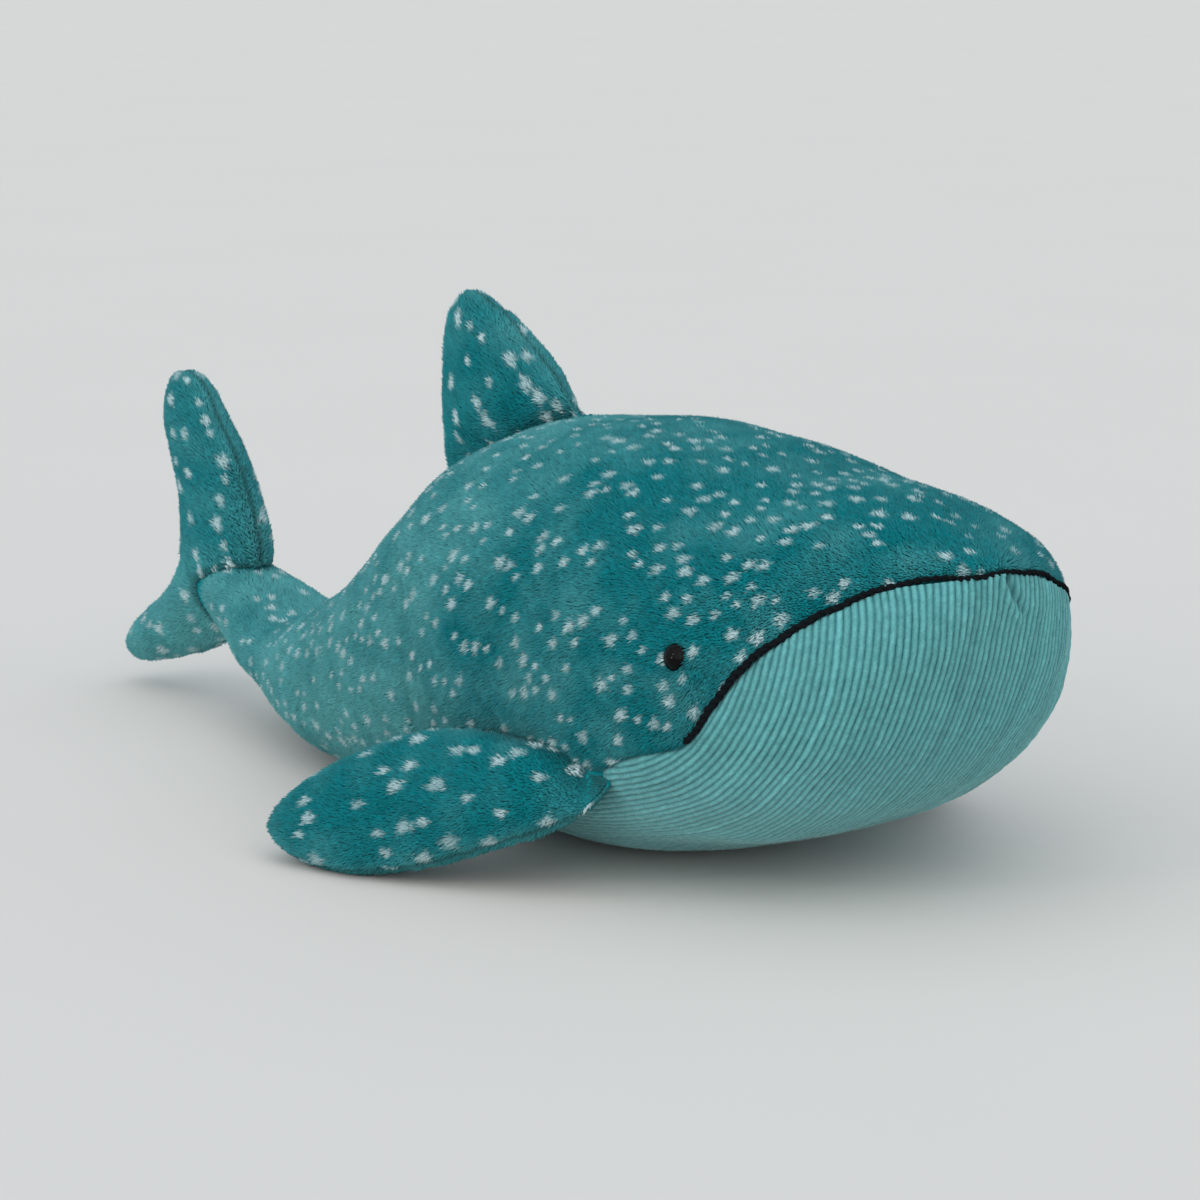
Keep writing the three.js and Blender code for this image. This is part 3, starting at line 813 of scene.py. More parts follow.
@dataclass(frozen=True)
class Pile:
    """Short plush pile, made of closed three-sided tufts."""

    density: float = 2.38  # tufts to a square millimetre
    length: float = 2.1
    width: float = 0.92
    foot: float = 0.55  # radius of a tuft's root, as a share of its width
    rooted: float = 0.25  # how deep the root stands below the surface
    lean: float = 51.0  # degrees from the normal, along the lay
    ruffle: float = 11.0  # degrees, in patches
    loose: float = 9.0  # degrees, tuft by tuft
    crease: float = 0.0  # share of their length that the tufts lose at a seam
    shadow: float = 0.25  # painted shade: share of their colour that they lose there
    most: int = 49000  # tufts to a piece

    def tuft_corners(self, at: Cloth, pale: np.ndarray, rng: np.random.Generator) -> np.ndarray:
        """Corners of the tufts: three round the root and one at the tip.

        A tuft points along normal times cosine of the lean plus lay times sine, the
        lean and lay being turned by the patch's ruffle and by the tuft's own share.

        Args:
            at: the roots.
            pale: how pale each tuft is; pale ones are a little longer.
            rng: the random draw.

        Returns:
            An array of tufts by four corners by three.
        """
        count = len(at.points)
        lean = self.lean + self.ruffle * drift(at.points, 34.0, 11)
        lean = np.radians(lean + self.loose * rng.normal(size=count))[:, None]
        sideways = self.ruffle * 1.3 * drift(at.points, 26.0, 12)
        sideways = np.radians(sideways + 1.6 * self.loose * rng.normal(size=count))[:, None]
        beside = np.cross(at.normals, at.lay)
        lay = at.lay * np.cos(sideways) + beside * np.sin(sideways)
        way = unit(at.normals * np.cos(lean) + lay * np.sin(lean))
        first = unit(np.cross(way, beside + 0.001))
        second = np.cross(way, first)
        long = self.length * rng.uniform(0.85, 1.12, count) * (1.0 + 0.1 * pale)
        long = long * (1.0 - self.crease * (1.0 - fade(0.5, 4.5, at.seam)))
        wide = self.width * rng.uniform(0.8, 1.2, count)
        roll = rng.uniform(0.0, TURN, count)
        corners = np.empty((count, 4, 3))
        for k in range(3):
            turn = (roll + TURN * k / 3.0)[:, None]
            ring = first * np.cos(turn) + second * np.sin(turn)
            corners[:, k] = at.points + ring * wide[:, None] * self.foot - at.normals * self.rooted
        corners[:, 3] = at.points + way * long[:, None]
        corners[:, :, 2] = np.maximum(corners[:, :, 2], FLOOR_CLEARANCE)
        return corners

    def tuft_dyes(
        self, at: Cloth, pale: np.ndarray, painted_light: np.ndarray, dyes: Dyes, rng: np.random.Generator
    ) -> np.ndarray:
        """Colours of the tufts' corners: darker at the root as painted shade deep in the pile, full at the
        tip.

        Args:
            at: the roots.
            pale: how pale each tuft is.
            painted_light: share of painted light at each tuft, which makes it paler.
            dyes: the plush's colours.
            rng: the random draw.

        Returns:
            An array of tufts by four corners by three.
        """
        count = len(at.points)
        tone = 1.0 + 0.10 * drift(at.points, 4.5, 21) + 0.07 * drift(at.points, 2.0, 22)
        tone = tone + 0.09 * rng.normal(size=count)
        # painted shade: darker along seams, round the eyes and where a fin meets the body
        tone = tone * (1.0 - self.shadow * (1.0 - fade(0.2, 2.2, at.seam)))
        ground = dyes.ground(painted_light) * tone[:, None]
        spot = np.array(dyes.spot) * (1.0 + 0.06 * rng.normal(size=count))[:, None]
        tip = ground * (1 - pale[:, None]) + spot * pale[:, None]
        root = ground * (1 - 0.8 * pale[:, None]) + spot * 0.8 * pale[:, None]
        colours = np.empty((count, 4, 3))
        colours[:, :3] = (root * dyes.root)[:, None]
        colours[:, 3] = tip * dyes.tip
        return np.clip(colours, 0.0, 0.95)

    def grow(
        self,
        name: str,
        at: Cloth,
        pale: np.ndarray,
        painted_light: np.ndarray,
        finishes: Finishes,
        rng: np.random.Generator,
    ) -> list[bpy.types.Object]:
        """Pieces of pile on places, each small enough for one mesh.

        On the flat map each tuft has a square cell of its own.

        Args:
            name: start of the pieces' names.
            at: the tufts' roots, in the drawing frame.
            pale: how pale each tuft is.
            painted_light: share of painted light at each tuft, which makes it paler.
            finishes: the materials and dyes.
            rng: the random draw.

        Returns:
            The new objects.
        """
        order = np.argsort(at.points[:, 0], kind="stable")
        at, pale, painted_light = at.where(order), pale[order], painted_light[order]
        corners = self.tuft_corners(at, pale, rng)
        colours = self.tuft_dyes(at, pale, painted_light, finishes.dyes, rng)
        sides = np.array([[0, 1, 3], [1, 2, 3], [2, 0, 3], [0, 2, 1]])
        spots = np.array([[0.1, 0.1], [0.9, 0.1], [0.5, 0.25], [0.5, 0.9]])
        pieces = []
        parts = math.ceil(len(order) / self.most)
        for k, part in enumerate(np.array_split(np.arange(len(order)), parts)):
            faces = (np.arange(len(part))[:, None, None] * 4 + sides[None]).reshape(-1, 3)
            cells = math.ceil(math.sqrt(len(part)))
            cell = np.stack(np.divmod(np.arange(len(part)), cells), axis=1)[:, ::-1]
            uv = ((cell[:, None, None] + spots[sides][None]) / cells).reshape(-1, 2)
            title = name if parts == 1 else f"{name}_{k + 1}"
            points, dyes = corners[part].reshape(-1, 3), colours[part].reshape(-1, 3)
            pieces.append(build_object(title, points, faces, finishes.pile, uv, dyes))
        return pieces


@dataclass
class Plush:
    """Plush of one kind: how its backing and pile are made, and the bend that it crosses."""

    finishes: Finishes
    pile: Pile
    spots: Spots
    slot: str
    bend: Bend
    fill: float
    thickness: float = 0.9

    def backing(self, name: str, cloth: Cloth, *nodes: str) -> bpy.types.Object:
        """A panel's backing, under an outer face, that stands for some nodes."""
        piece = shell(name, cloth, self.thickness, self.finishes.backing)
        return enrol(piece, self.slot, self.bend, nodes)

    def coat(
        self, name: str, at: Cloth, pale: np.ndarray, painted_light: np.ndarray, rng: np.random.Generator
    ) -> list[bpy.types.Object]:
        """A panel's pile.

        Args:
            name: start of the pieces' names.
            at: the tufts' roots.
            pale: how pale each tuft is.
            painted_light: share of painted light at each tuft, which makes it paler.
            rng: the random draw.

        Returns:
            The new objects.
        """
        pieces = self.pile.grow(name, at, pale, painted_light, self.finishes, rng)
        for piece in pieces:
            enrol(piece, self.slot, self.bend)
        return pieces


@dataclass(frozen=True)
class BodyShape:
    """The stuffed body from the tail's end to the nose."""

    # place along the toy, half width, height of the back, height of the belly
    stations: Stations = (
        (-312, 10, 61, 47), (-300, 13, 64.5, 41), (-281, 17.3, 64.3, 31.5), (-262, 22.5, 58.2, 23.5),
        (-246, 28.1, 53.0, 19.2), (-225, 35, 50.3, 14.5), (-180, 52, 69, 1), (-130, 66, 102, -0.5),
        (-80, 79, 138.5, -0.5), (-30, 87, 149, -0.5), (20, 89.5, 149, 1.5), (70, 87, 141.5, 11.5),
        (120, 85, 138, 15.5),
    )
    # the seam between back and belly from the side, up to the mouth: place, height
    cheek_points: tuple[tuple[float, float], ...] = (
        (-80, -4), (-50, 2), (-8, 11.5), (28, 31), (66, 50.5), (93.5, 60),
    )
    # and along the mouth, which sits lower on the toy's left: place, height right, height left
    mouth_points: tuple[Place, ...] = (
        (107, 78.3, 77.5), (122, 96.8, 92.5), (134, 107.2, 99.5), (144, 114.1, 104.5),
        (151.5, 117.0, 109.4), (157, 117.9, 113.9), (162, 118.1, 118.1), (170, 118.2, 125.0),
    )
    nose_x: float = 162.0
    nose_z: float = 118.5
    head_x: float = 55.0
    widest_share: float = 0.46  # height of the widest place, as a share of the section's
    round_side: float = 2.16
    round_back: float = 2.6
    upper: float = 2.2
    lower: float = 2.4
    mouth_corner_x: float = 93.5
    seam_rear_x: float = -62.0
    stock_round_x: float = -286.0  # behind it the tail stock rounds off into the fin
    girth: float = 150.0  # about the longest way from the back down to the seam
    seam_dip: float = 1.3
    seam_dip_reach: float = 2.4

    def section(self, x: np.ndarray, inset: float = 0.0) -> tuple[np.ndarray, ...]:
        """Half width, back, belly and widest height at places along the body.

        Ahead of the head's start the half width and the heights close in on the nose
        by the root of one minus the share of the way to the nose to a power.

        Args:
            x: places along the body.
            inset: how far the surface is drawn in.

        Returns:
            Half width, top, bottom and widest height.
        """
        table = np.array(self.stations, float)
        nose = self.nose_x - inset
        share = np.clip((x - self.head_x) / (nose - self.head_x), 0.0, 1.0)
        side_cap = np.sqrt(1.0 - share**self.round_side)
        back_cap = np.sqrt(1.0 - share**self.round_back)
        half = (through(table, x, 1) - inset) * side_cap
        top = self.nose_z + (through(table, x, 2) - inset - self.nose_z) * back_cap
        bottom = self.nose_z + (through(table, x, 3) + inset - self.nose_z) * side_cap
        return half, top, bottom, bottom + (top - bottom) * self.widest_share

    def point(self, x: np.ndarray, turn: np.ndarray, inset: float = 0.0) -> np.ndarray:
        """Point of the body at a place and an angle up from its left side.

        Each section is a rounded square: half width times the signed power of the
        cosine, and the reach up or down times that of the sine.

        Args:
            x: places along the body.
            turn: angles in radians.
            inset: how far the surface is drawn in.

        Returns:
            Points, with three values along a new last axis.
        """
        half, top, bottom, widest = self.section(x, inset)
        up = np.sin(turn) > 0.0
        power = 2.0 / np.where(up, self.upper, self.lower)
        reach = np.where(up, top - widest, widest - bottom)
        across, rise = np.cos(turn), np.sin(turn)
        y = half * np.sign(across) * np.abs(across) ** power
        z = widest + reach * np.sign(rise) * np.abs(rise) ** power
        return np.stack(np.broadcast_arrays(x, y, z), axis=-1)

    def height_share(
        self, x: np.ndarray, z: np.ndarray, least: float = 1e-6
    ) -> tuple[np.ndarray, np.ndarray, np.ndarray]:
        """Where heights lie between a section's widest height and its top or bottom.

        Args:
            x: places along the body.
            z: heights.
            least: the least reach up or down that a section is given.

        Returns:
            The section's half width, the share of the reach, below 0 for places under
            the widest height, and the power that rounds that part of the section.
        """
        half, top, bottom, widest = self.section(x)
        above = z > widest
        reach = np.maximum(np.where(above, top - widest, widest - bottom), least)
        return half, (z - widest) / reach, np.where(above, self.upper, self.lower)

    def side(self, x: np.ndarray, z: np.ndarray) -> np.ndarray:
        """Distance from the middle plane to the surface, zero above and below the body."""
        half, share, power = self.height_share(x, z)
        return half * (1.0 - np.minimum(np.abs(share), 1.0) ** power) ** (1.0 / power)

    def level(self, points: np.ndarray) -> np.ndarray:
        """Which places lie inside the body.

        Args:
            points: the places, along the last axis.

        Returns:
            Below 0 inside the body and above 0 outside and behind its end.
        """
        half, share, power = self.height_share(points[..., 0], points[..., 2], 1e-3)
        across = np.abs(points[..., 1]) / np.maximum(half, 1e-3)
        behind = np.maximum(self.stations[0][0] - points[..., 0], 0.0)
        return across**power + np.abs(share) ** power - 1.0 + behind

    def seam(self, x: np.ndarray, side: Side) -> np.ndarray:
        """Height of the seam between back and belly.

        Args:
            x: places along the body.
            side: left or right.

        Returns:
            The heights.
        """
        column = 1 if side is Side.RIGHT else 2
        mouth = tuple((station[0], station[column]) for station in self.mouth_points)
        return through(np.array(self.cheek_points + mouth, float), x, 1)

    def seam_turn(self, x: np.ndarray, side: Side) -> np.ndarray:
        """Angle at which the surface meets the seam, or straight down behind the belly.

        Args:
            x: places along the body.
            side: left or right.

        Returns:
            The angles, as point() takes them.
        """
        _, share, power = self.height_share(x, self.seam(x, side))
        rise = np.minimum(np.abs(share), 1.0) ** (power / 2.0)
        return np.where(share > 0.0, 1.0, -1.0) * np.arcsin(rise)

    def lumps(self, points: np.ndarray) -> np.ndarray:
        """Outward unevenness of the stuffing, in millimetres."""
        return 1.1 * drift(points, 75.0, 3) + 0.4 * drift(points, 28.0, 4)

    def painted_light(self, points: np.ndarray) -> np.ndarray:
        """Share of painted light on the pile, which makes it paler: most to the rear and low down, and in
        patches.

        Args:
            points: places on the plush.

        Returns:
            One share a place, 0 to 1.
        """
        rear = 1.0 - fade(-75.0, 35.0, points[..., 0])
        low = 1.0 - fade(15.0, 75.0, points[..., 2])
        patches = 0.24 * drift(points, 62.0, 51) + 0.2 * drift(points, 24.0, 52)
        patches = patches + 0.08 * drift(points, 9.0, 53)
        return np.clip(0.10 + 0.55 * rear + 0.30 * low + patches, 0.0, 1.0)

    def under(self, points: np.ndarray, inset: float) -> np.ndarray:
        """Height of the drawn in body's lower face below or above points of the body.

        Args:
            points: places near the belly.
            inset: how far the surface is drawn in.

        Returns:
            One height a point.
        """
        half, _, bottom, widest = self.section(points[..., 0], inset)
        share = np.clip(np.abs(points[..., 1]) / np.maximum(half, 1e-3), 0.0, 1.0)
        return widest - (widest - bottom) * (1.0 - share**self.lower) ** (1.0 / self.lower)

    def middle(self, x: np.ndarray) -> np.ndarray:
        """Middle of each section, at its widest height."""
        return np.stack(np.broadcast_arrays(x, 0.0 * x, self.section(x)[3]), axis=-1)

    def places_along(self, spacing: float) -> np.ndarray:
        """Places along the body whose sections lie a spacing apart on the surface.

        Args:
            spacing: the most that two sections lie apart, measured over the cloth.

        Returns:
            Places from the tail's end to the nose.
        """
        rear = np.linspace(self.stations[0][0], self.head_x, 1500, endpoint=False)
        ahead = (self.nose_x - self.head_x) * np.sin(np.linspace(0.0, math.pi / 2, 900))
        fine = np.concatenate([rear, self.head_x + ahead])
        turn = np.linspace(-math.pi / 2, math.pi / 2, 15)
        rings = self.point(fine[:, None], turn[None])
        gone = np.linalg.norm(np.diff(rings, axis=0), axis=-1).max(1)
        total = np.concatenate([[0.0], np.cumsum(gone)])
        return np.interp(np.linspace(0.0, total[-1], int(total[-1] / spacing) + 1), total, fine)

    def back_cloth(self, side: Side, spacing: float, inset: float) -> Cloth:
        """Plush of one side, from the middle of the back down to the seam.

        Towards the tail stock's end the sections shrink by the root of one minus 0.92
        times the share of the way to the end to a power.

        Args:
            side: left or right.
            spacing: of the grid's rows and, where it is widest, of its columns.
            inset: how far below the outer surface it lies.

        Returns:
            The cloth, uneven by the stuffing and drawn in along the seam.
        """
        x = self.places_along(spacing)[:-1, None]
        share = np.linspace(0.0, 1.0, int(self.girth / spacing))[None]
        turn = math.pi / 2 + (self.seam_turn(x, side) - math.pi / 2) * share
        points = self.point(x, turn)
        centre = self.middle(x)
        past = (self.stock_round_x - x) / (self.stock_round_x - self.stations[0][0])
        cap = np.sqrt(1.0 - 0.92 * np.clip(past, 0.0, 1.0) ** 2.4)
        points = centre + (points - centre) * cap[..., None]
        outward = points - centre
        outward[..., 0] -= np.maximum(self.stock_round_x - x, 0.0)
        normals = normals_of(points, outward)
        length = np.linalg.norm(np.diff(points, axis=1), axis=-1)
        left = np.concatenate([np.cumsum(length[:, ::-1], axis=1)[:, ::-1], np.zeros_like(x)], axis=1)
        sewn = fade(self.seam_rear_x - 8.0, self.seam_rear_x + 20.0, x)
        dip = self.seam_dip * np.exp(-((left / self.seam_dip_reach) ** 2)) * sewn
        points = points + normals * (self.lumps(points) - inset - dip)[..., None]
        points[..., 2] = np.maximum(points[..., 2], CLOTH_CLEARANCE)
        points[..., 1] = np.maximum(points[..., 1], 0.0)
        lay = unit(-np.gradient(points, axis=0)) + np.array([0.0, 0.0, -0.28])
        lay = unit(lay - normals * (lay * normals).sum(-1, keepdims=True))
        flip = np.array([1.0, side.value, 1.0])
        return Cloth(points * flip, normals * flip, lay * flip, left + 40.0 * (1.0 - sewn))


@dataclass(frozen=True)
class Blade:
    """A stuffed fin: puffed sections along a curved centre line."""

    # across, along, half width, half thickness
    stations: Stations
    origin: Place
    across: Place
    along: Place
    face: Place
    tip: float  # length over which an end is rounded
    taper: float = 0.0  # length over which the fin thickens from its root
    both_ends: bool = False
    lens: float = 1.8
    rounding: float = 2.2
    root_min: float = 1.2
    root_round: float = 0.0  # length over which a sewn root's corners are rounded
    parting: float = 45.0  # place along a fin with two tips from which the pile runs to both
    crease_depth: float = 1.1  # along the seam round the edge
    crease_reach: float = 2.4

    def surface(self, rows: int, turns: np.ndarray, inset: float, start: float = 0.0) -> np.ndarray:
        """Points of the fin: one row a section, one column an angle round it.

        A section is a lens: half width times the cosine across, and half thickness
        times the signed power of the sine. Along a rounded end both shrink by the root
        of one minus a power of the share of its length that is gone.

        Args:
            rows: number of sections.
            turns: angles round a section, from its trailing or lower edge, a quarter
                turn pointing out of its face.
            inset: how far the surface is drawn in.
            start: distance from a sewn root at which the sections start.

        Returns:
            Points, rows by angles by three.
        """
        table = np.array(self.stations, float)
        numbered = np.column_stack([np.linspace(0.0, 1.0, len(table)), table])
        fine = np.linspace(0.0, 1.0, 400)
        measured = distances(np.stack([through(numbered, fine, k) for k in (1, 2)], axis=1))
        low = inset if self.both_ends else start
        high = measured[-1] - inset
        step = np.linspace(0.0, 1.0, rows)
        eased = (1.0 - np.cos(math.pi * step)) / 2.0 if self.both_ends else 1.0 - (1.0 - step) ** 1.6
        distance = low + (high - low) * eased
        t = np.interp(distance, measured, fine)
        x, y = through(numbered, t, 1), through(numbered, t, 2)
        rise, run = (through(numbered, t + 0.01, k) - through(numbered, t - 0.01, k) for k in (2, 1))
        heading = np.arctan2(rise, run)
        left = np.minimum(distance - low, high - distance) if self.both_ends else high - distance
        closing = np.clip(left / self.tip, 0.0, 1.0)
        cap = np.sqrt(np.maximum(1.0 - (1.0 - closing) ** self.rounding, 0.0))
        thin = np.sin(math.pi / 2 * np.clip(y / self.taper, 0.0, 1.0)) if self.taper else 1.0
        opening = 1.0 - np.clip(distance / self.root_round, 0.0, 1.0) if self.root_round else 0.0
        half = (through(numbered, t, 3) - inset) * cap * (1.0 - 0.6 * opening**2)
        thick = (np.maximum(through(numbered, t, 4) * thin, self.root_min + inset) - inset) * cap
        wide = half[:, None] * np.cos(turns)[None]
        sine = np.sin(turns)
        deep = thick[:, None] * (np.sign(sine) * np.abs(sine) ** (2.0 / self.lens))[None]
        flat_x = x[:, None] - wide * np.sin(heading)[:, None]
        flat_y = y[:, None] + wide * np.cos(heading)[:, None]
        points = np.array(self.origin) + flat_x[..., None] * np.array(self.across)
        points = points + flat_y[..., None] * np.array(self.along)
        return points + deep[..., None] * np.array(self.face)

    def panel(self, upper: bool, rows: int, columns: int, inset: float, seed: int) -> Cloth:
        """Plush of one face of the fin, creased along the seam round its edge.

        Args:
            upper: the face that the face direction points out of.
            rows: number of sections.
            columns: number of points across the face.
            inset: how far below the outer surface it lies.
            seed: number of the random draw for its unevenness.

        Returns:
            The cloth.
        """
        start = 0.0 if upper else math.pi
        points = self.surface(rows, start + np.linspace(0.0, math.pi, columns), inset)
        middle = points.mean(axis=1, keepdims=True)
        away = points - middle + np.array(self.face) * (2.0 if upper else -2.0)
        normals = normals_of(points, away)
        length = np.linalg.norm(np.diff(points, axis=1), axis=-1)
        one = np.concatenate([np.zeros((rows, 1)), np.cumsum(length, axis=1)], axis=1)
        edge = np.minimum(one, one[:, -1:] - one)
        crease = self.crease_depth * np.exp(-((edge / self.crease_reach) ** 2))
        pucker = 0.5 * drift(points, 9.0, seed) * np.exp(-edge / 7.0)
        lumps = 0.9 * drift(points, 42.0, seed + 1) * fade(2.0, 14.0, edge)
        points = points + normals * (pucker + lumps - crease)[..., None]
        points[..., 2] = np.maximum(points[..., 2], CLOTH_CLEARANCE)
        lay = unit(np.gradient(points, axis=0))
        if self.both_ends:
            share = np.tanh((points @ np.array(self.along) - self.parting) / 12.0)
            lay = lay * share[..., None] - 0.5 * np.array(self.across)
        lay = unit(lay - normals * (lay * normals).sum(-1, keepdims=True))
        return Cloth(points, normals, lay, edge)

    def mirrored(self) -> "Blade":
        """The same fin on the other side of the toy, with every Y turned round."""
        directions = {name: getattr(self, name) for name in ("origin", "across", "along", "face")}
        return replace(self, **{name: (x, -y, z) for name, (x, y, z) in directions.items()})


@dataclass
class BackCoat:
    """The plush back and tail: a backing for each side and the pile on it."""

    body: BodyShape
    eyes: "Eyes"
    plush: Plush
    backing_spacing: float = 3.6
    backing_inset: float = 1.7
    pile_spacing: float = 0.9
    pile_inset: float = 1.2
    eye_room: float = 4.4  # radius round an eye's axis without pile
    rest_height: float = 4.0  # the toy lies on plush below this height
    underside: float = 0.45  # share of the tufts kept there

    def build(self, side: Side, rng: np.random.Generator) -> list[bpy.types.Object]:
        """One side's backing and pile.

        Args:
            side: left or right.
            rng: the random draw.

        Returns:
            The new objects, backing first.
        """
        word = side.word
        coarse = self.body.back_cloth(side, self.backing_spacing, self.backing_inset)
        nodes = (f"back_plush_{word}", f"tail_plush_{word}")
        backing = self.plush.backing(f"back_backing_{word}", coarse, *nodes)
        fine = self.body.back_cloth(side, self.pile_spacing, self.pile_inset)
        centres = self.plush.spots.scatter(fine, rng)
        at = fine.spread(self.plush.pile.density, rng)
        eye = self.eyes.on_cloth(*self.eyes.place, side)
        # round an eye the pile counts as at a seam: none within its room, and darker round it as painted
        # shade
        at.seam = np.minimum(at.seam, np.linalg.norm(at.points - eye, axis=1) - self.eye_room)
        at = at.where(at.seam > -0.2)
        clear = at.points[:, 2] > self.rest_height
        at = at.where(clear | (rng.random(len(at.points)) < self.underside))
        pale = self.plush.spots.paleness(at, centres, rng)
        pieces = self.plush.coat(f"back_pile_{word}", at, pale, self.body.painted_light(at.points), rng)
        return [backing, *pieces]


@dataclass
class BellyPanel:
    """Corduroy belly, whose ribs run from the mouth down and back under the toy."""

    body: BodyShape
    finishes: Finishes
    dye: CorduroyFinish
    rib: float = 2.5
    steps: int = 7  # points across a rib
    depth: float = 0.75
    rib_power: float = 0.7  # below 1 it makes the ribs broad and the valleys narrow
    dip: float = 1.8  # how deep the edge is drawn in at the seam
    dip_reach: float = 2.2
    pivot: tuple[float, float] = (25.0, 92.0)
    front_rows: int = 112
    rear_rows: int = 46
    samples: int = 160  # along each half of a section
    halvings: int = 34
    hem: float = 1.5
    # pleat under the nose, from the mouth down
    pleat: tuple[Place, ...] = ((162, 0, 117), (161.5, 4, 109), (159.7, 12.3, 99))

    def rays(self) -> tuple[np.ndarray, np.ndarray]:
        """Start points in the middle plane and downward angles of the panel's sections.

        Sections fan out round the pivot from the nose to straight down, and then
        follow each other to the rear.

        Returns:
            The start points and the angles.
        """
        x, z = self.pivot
        nose = math.atan2(self.body.nose_z - z, self.body.nose_x - x) - 0.004
        share = np.linspace(0.0, 1.0, self.front_rows)
        fan = nose - (nose + math.pi / 2) * share**1.15
        back = np.linspace(x, self.body.seam_rear_x - 0.3, self.rear_rows + 1)[1:]
        starts = np.concatenate([np.full(self.front_rows, x), back])
        angles = np.concatenate([fan, np.full(self.rear_rows, -math.pi / 2)])
        return np.stack([starts, 0.0 * starts, np.full(len(starts), z)], axis=1), angles

    def sections(self) -> tuple[np.ndarray, np.ndarray]:
        """Surface points along each section from the middle to past the seam.

        Each ray is followed to the surface by halving the stretch that crosses it.

        Returns:
            Points, sections by samples by three, and the distance along each section.
        """
        starts, angles = self.rays()
        spread = np.linspace(0.0, math.radians(100.0), self.samples)[None, :, None]
        down = np.stack([np.cos(angles), 0.0 * angles, np.sin(angles)], axis=1)
        ways = np.cos(spread) * down[:, None] + np.sin(spread) * [0.0, 1.0, 0.0]
        near = np.zeros(ways.shape[:2])
        far = np.full(ways.shape[:2], 260.0)
        for _ in range(self.halvings):
            middle = (near + far) / 2.0
            inside = self.body.level(starts[:, None] + ways * middle[..., None]) < 0.0
            near, far = np.where(inside, middle, near), np.where(inside, far, middle)
        points = starts[:, None] + ways * near[..., None]
        gone = np.linalg.norm(np.diff(points, axis=1), axis=-1)
        return points, np.concatenate([np.zeros((len(points), 1)), np.cumsum(gone, axis=1)], axis=1)

    def ends(self, points: np.ndarray, distance: np.ndarray, side: Side) -> np.ndarray:
        """Distance from the middle at which each section meets the seam.

        Args:
            points: the sections' surface points.
            distance: distance along each section.
            side: left or right.

        Returns:
            One distance a section.
        """
        over = points[..., 2] - self.body.seam(points[..., 0], side)
        first = np.maximum((over > 0.0).argmax(axis=1), 1)
        number = np.arange(len(points))
        low, high = over[number, first - 1], over[number, first]
        part = np.clip(-low / np.maximum(high - low, 1e-9), 0.0, 1.0)
        return distance[number, first - 1] * (1 - part) + distance[number, first] * part

    def smooth_normals(self, plain: np.ndarray, sign: np.ndarray) -> np.ndarray:
        """Normals of the plain surface under the ribs.

        Args:
            plain: its points, all on the toy's left.
            sign: which side each column belongs to.

        Returns:
            Outward unit normals, sections by columns by three.
        """
        small = 0.05 * np.eye(3)
        level = self.body.level
        slope = np.stack([level(plain + way) - level(plain - way) for way in small], axis=-1)
        slope[..., 1] *= sign
        return unit(slope)

    def fold(self, points: np.ndarray, normals: np.ndarray) -> np.ndarray:
        """Outward push of the pleat: a ridge beside a groove, both dying out downwards.

        With t the share of the way down the pleat's line and s the signed distance
        from it, the push is (1 - t)^0.6 times a bell round s = -1.6 less one round 0.9.

        Args:
            points: places on the belly.
            normals: outward normals there.

        Returns:
            Millimetres, of the places' shape without their last axis.
        """
        push = np.zeros(points.shape[:-1])
        knots = np.array(self.pleat, float)
        closest = np.full(points.shape[:-1], np.inf)
        for k, (start, end) in enumerate(zip(knots[:-1], knots[1:])):
            way = end - start
            length = np.linalg.norm(way)
            along = np.clip((points - start) @ way / length**2, 0.0, 1.0)
            off = points - (start + along[..., None] * way)
            aside = (off * np.cross(normals, way / length)).sum(-1)
            away = np.linalg.norm(off, axis=-1)
            aside = np.where(aside < 0.0, -away, away)
            share = (k + along) / (len(knots) - 1)
            ridge = 1.5 * np.exp(-(((aside + 1.6) / 1.4) ** 2))
            groove = 2.6 * np.exp(-(((aside - 0.9) / 1.3) ** 2))
            push = np.where(away < closest, (ridge - groove) * (1.0 - share) ** 0.6, push)
            closest = np.minimum(closest, away)
        return push

    def dyes(
        self, grid: np.ndarray, number: np.ndarray, crest: np.ndarray, fold: np.ndarray
    ) -> np.ndarray:
        """Colours of the ribs: each has its own tone, and low down they are paler as painted light from the
        floor.

        Args:
            grid: the panel's points.
            number: of the rib that each point is on, from 0.
            crest: 0 in the valleys and 1 on the ribs.
            fold: the pleat's push, which also paints light on its ridge and shade in its groove.

        Returns:
            One colour a point.
        """
        shaded_valley, top = np.array(self.dye.shaded_valley), np.array(self.dye.crest)
        each = np.random.default_rng(37).normal(0.0, 0.06, 2 * grid.shape[1] - 2)
        # random tone for each rib and in patches; the pleat's ridge is painted lighter and its groove
        # darker, as painted light and shade
        tone = 1.0 + each[number] + 0.07 * drift(grid, 3.2, 36) + 0.16 * np.clip(fold, -2.0, 2.0)
        # painted light: low down the ribs blend toward the paler tone
        painted_low_light = 0.3 * (1.0 - fade(8.0, 70.0, grid[..., 2])).ravel()[:, None]
        shaded_valley, top = (colour * (1.0 - painted_low_light) + np.array(self.dye.painted_low_light) * painted_low_light for colour in (shaded_valley, top))
        return (shaded_valley + (top - shaded_valley) * crest.ravel()[:, None]) * tone.ravel()[:, None]

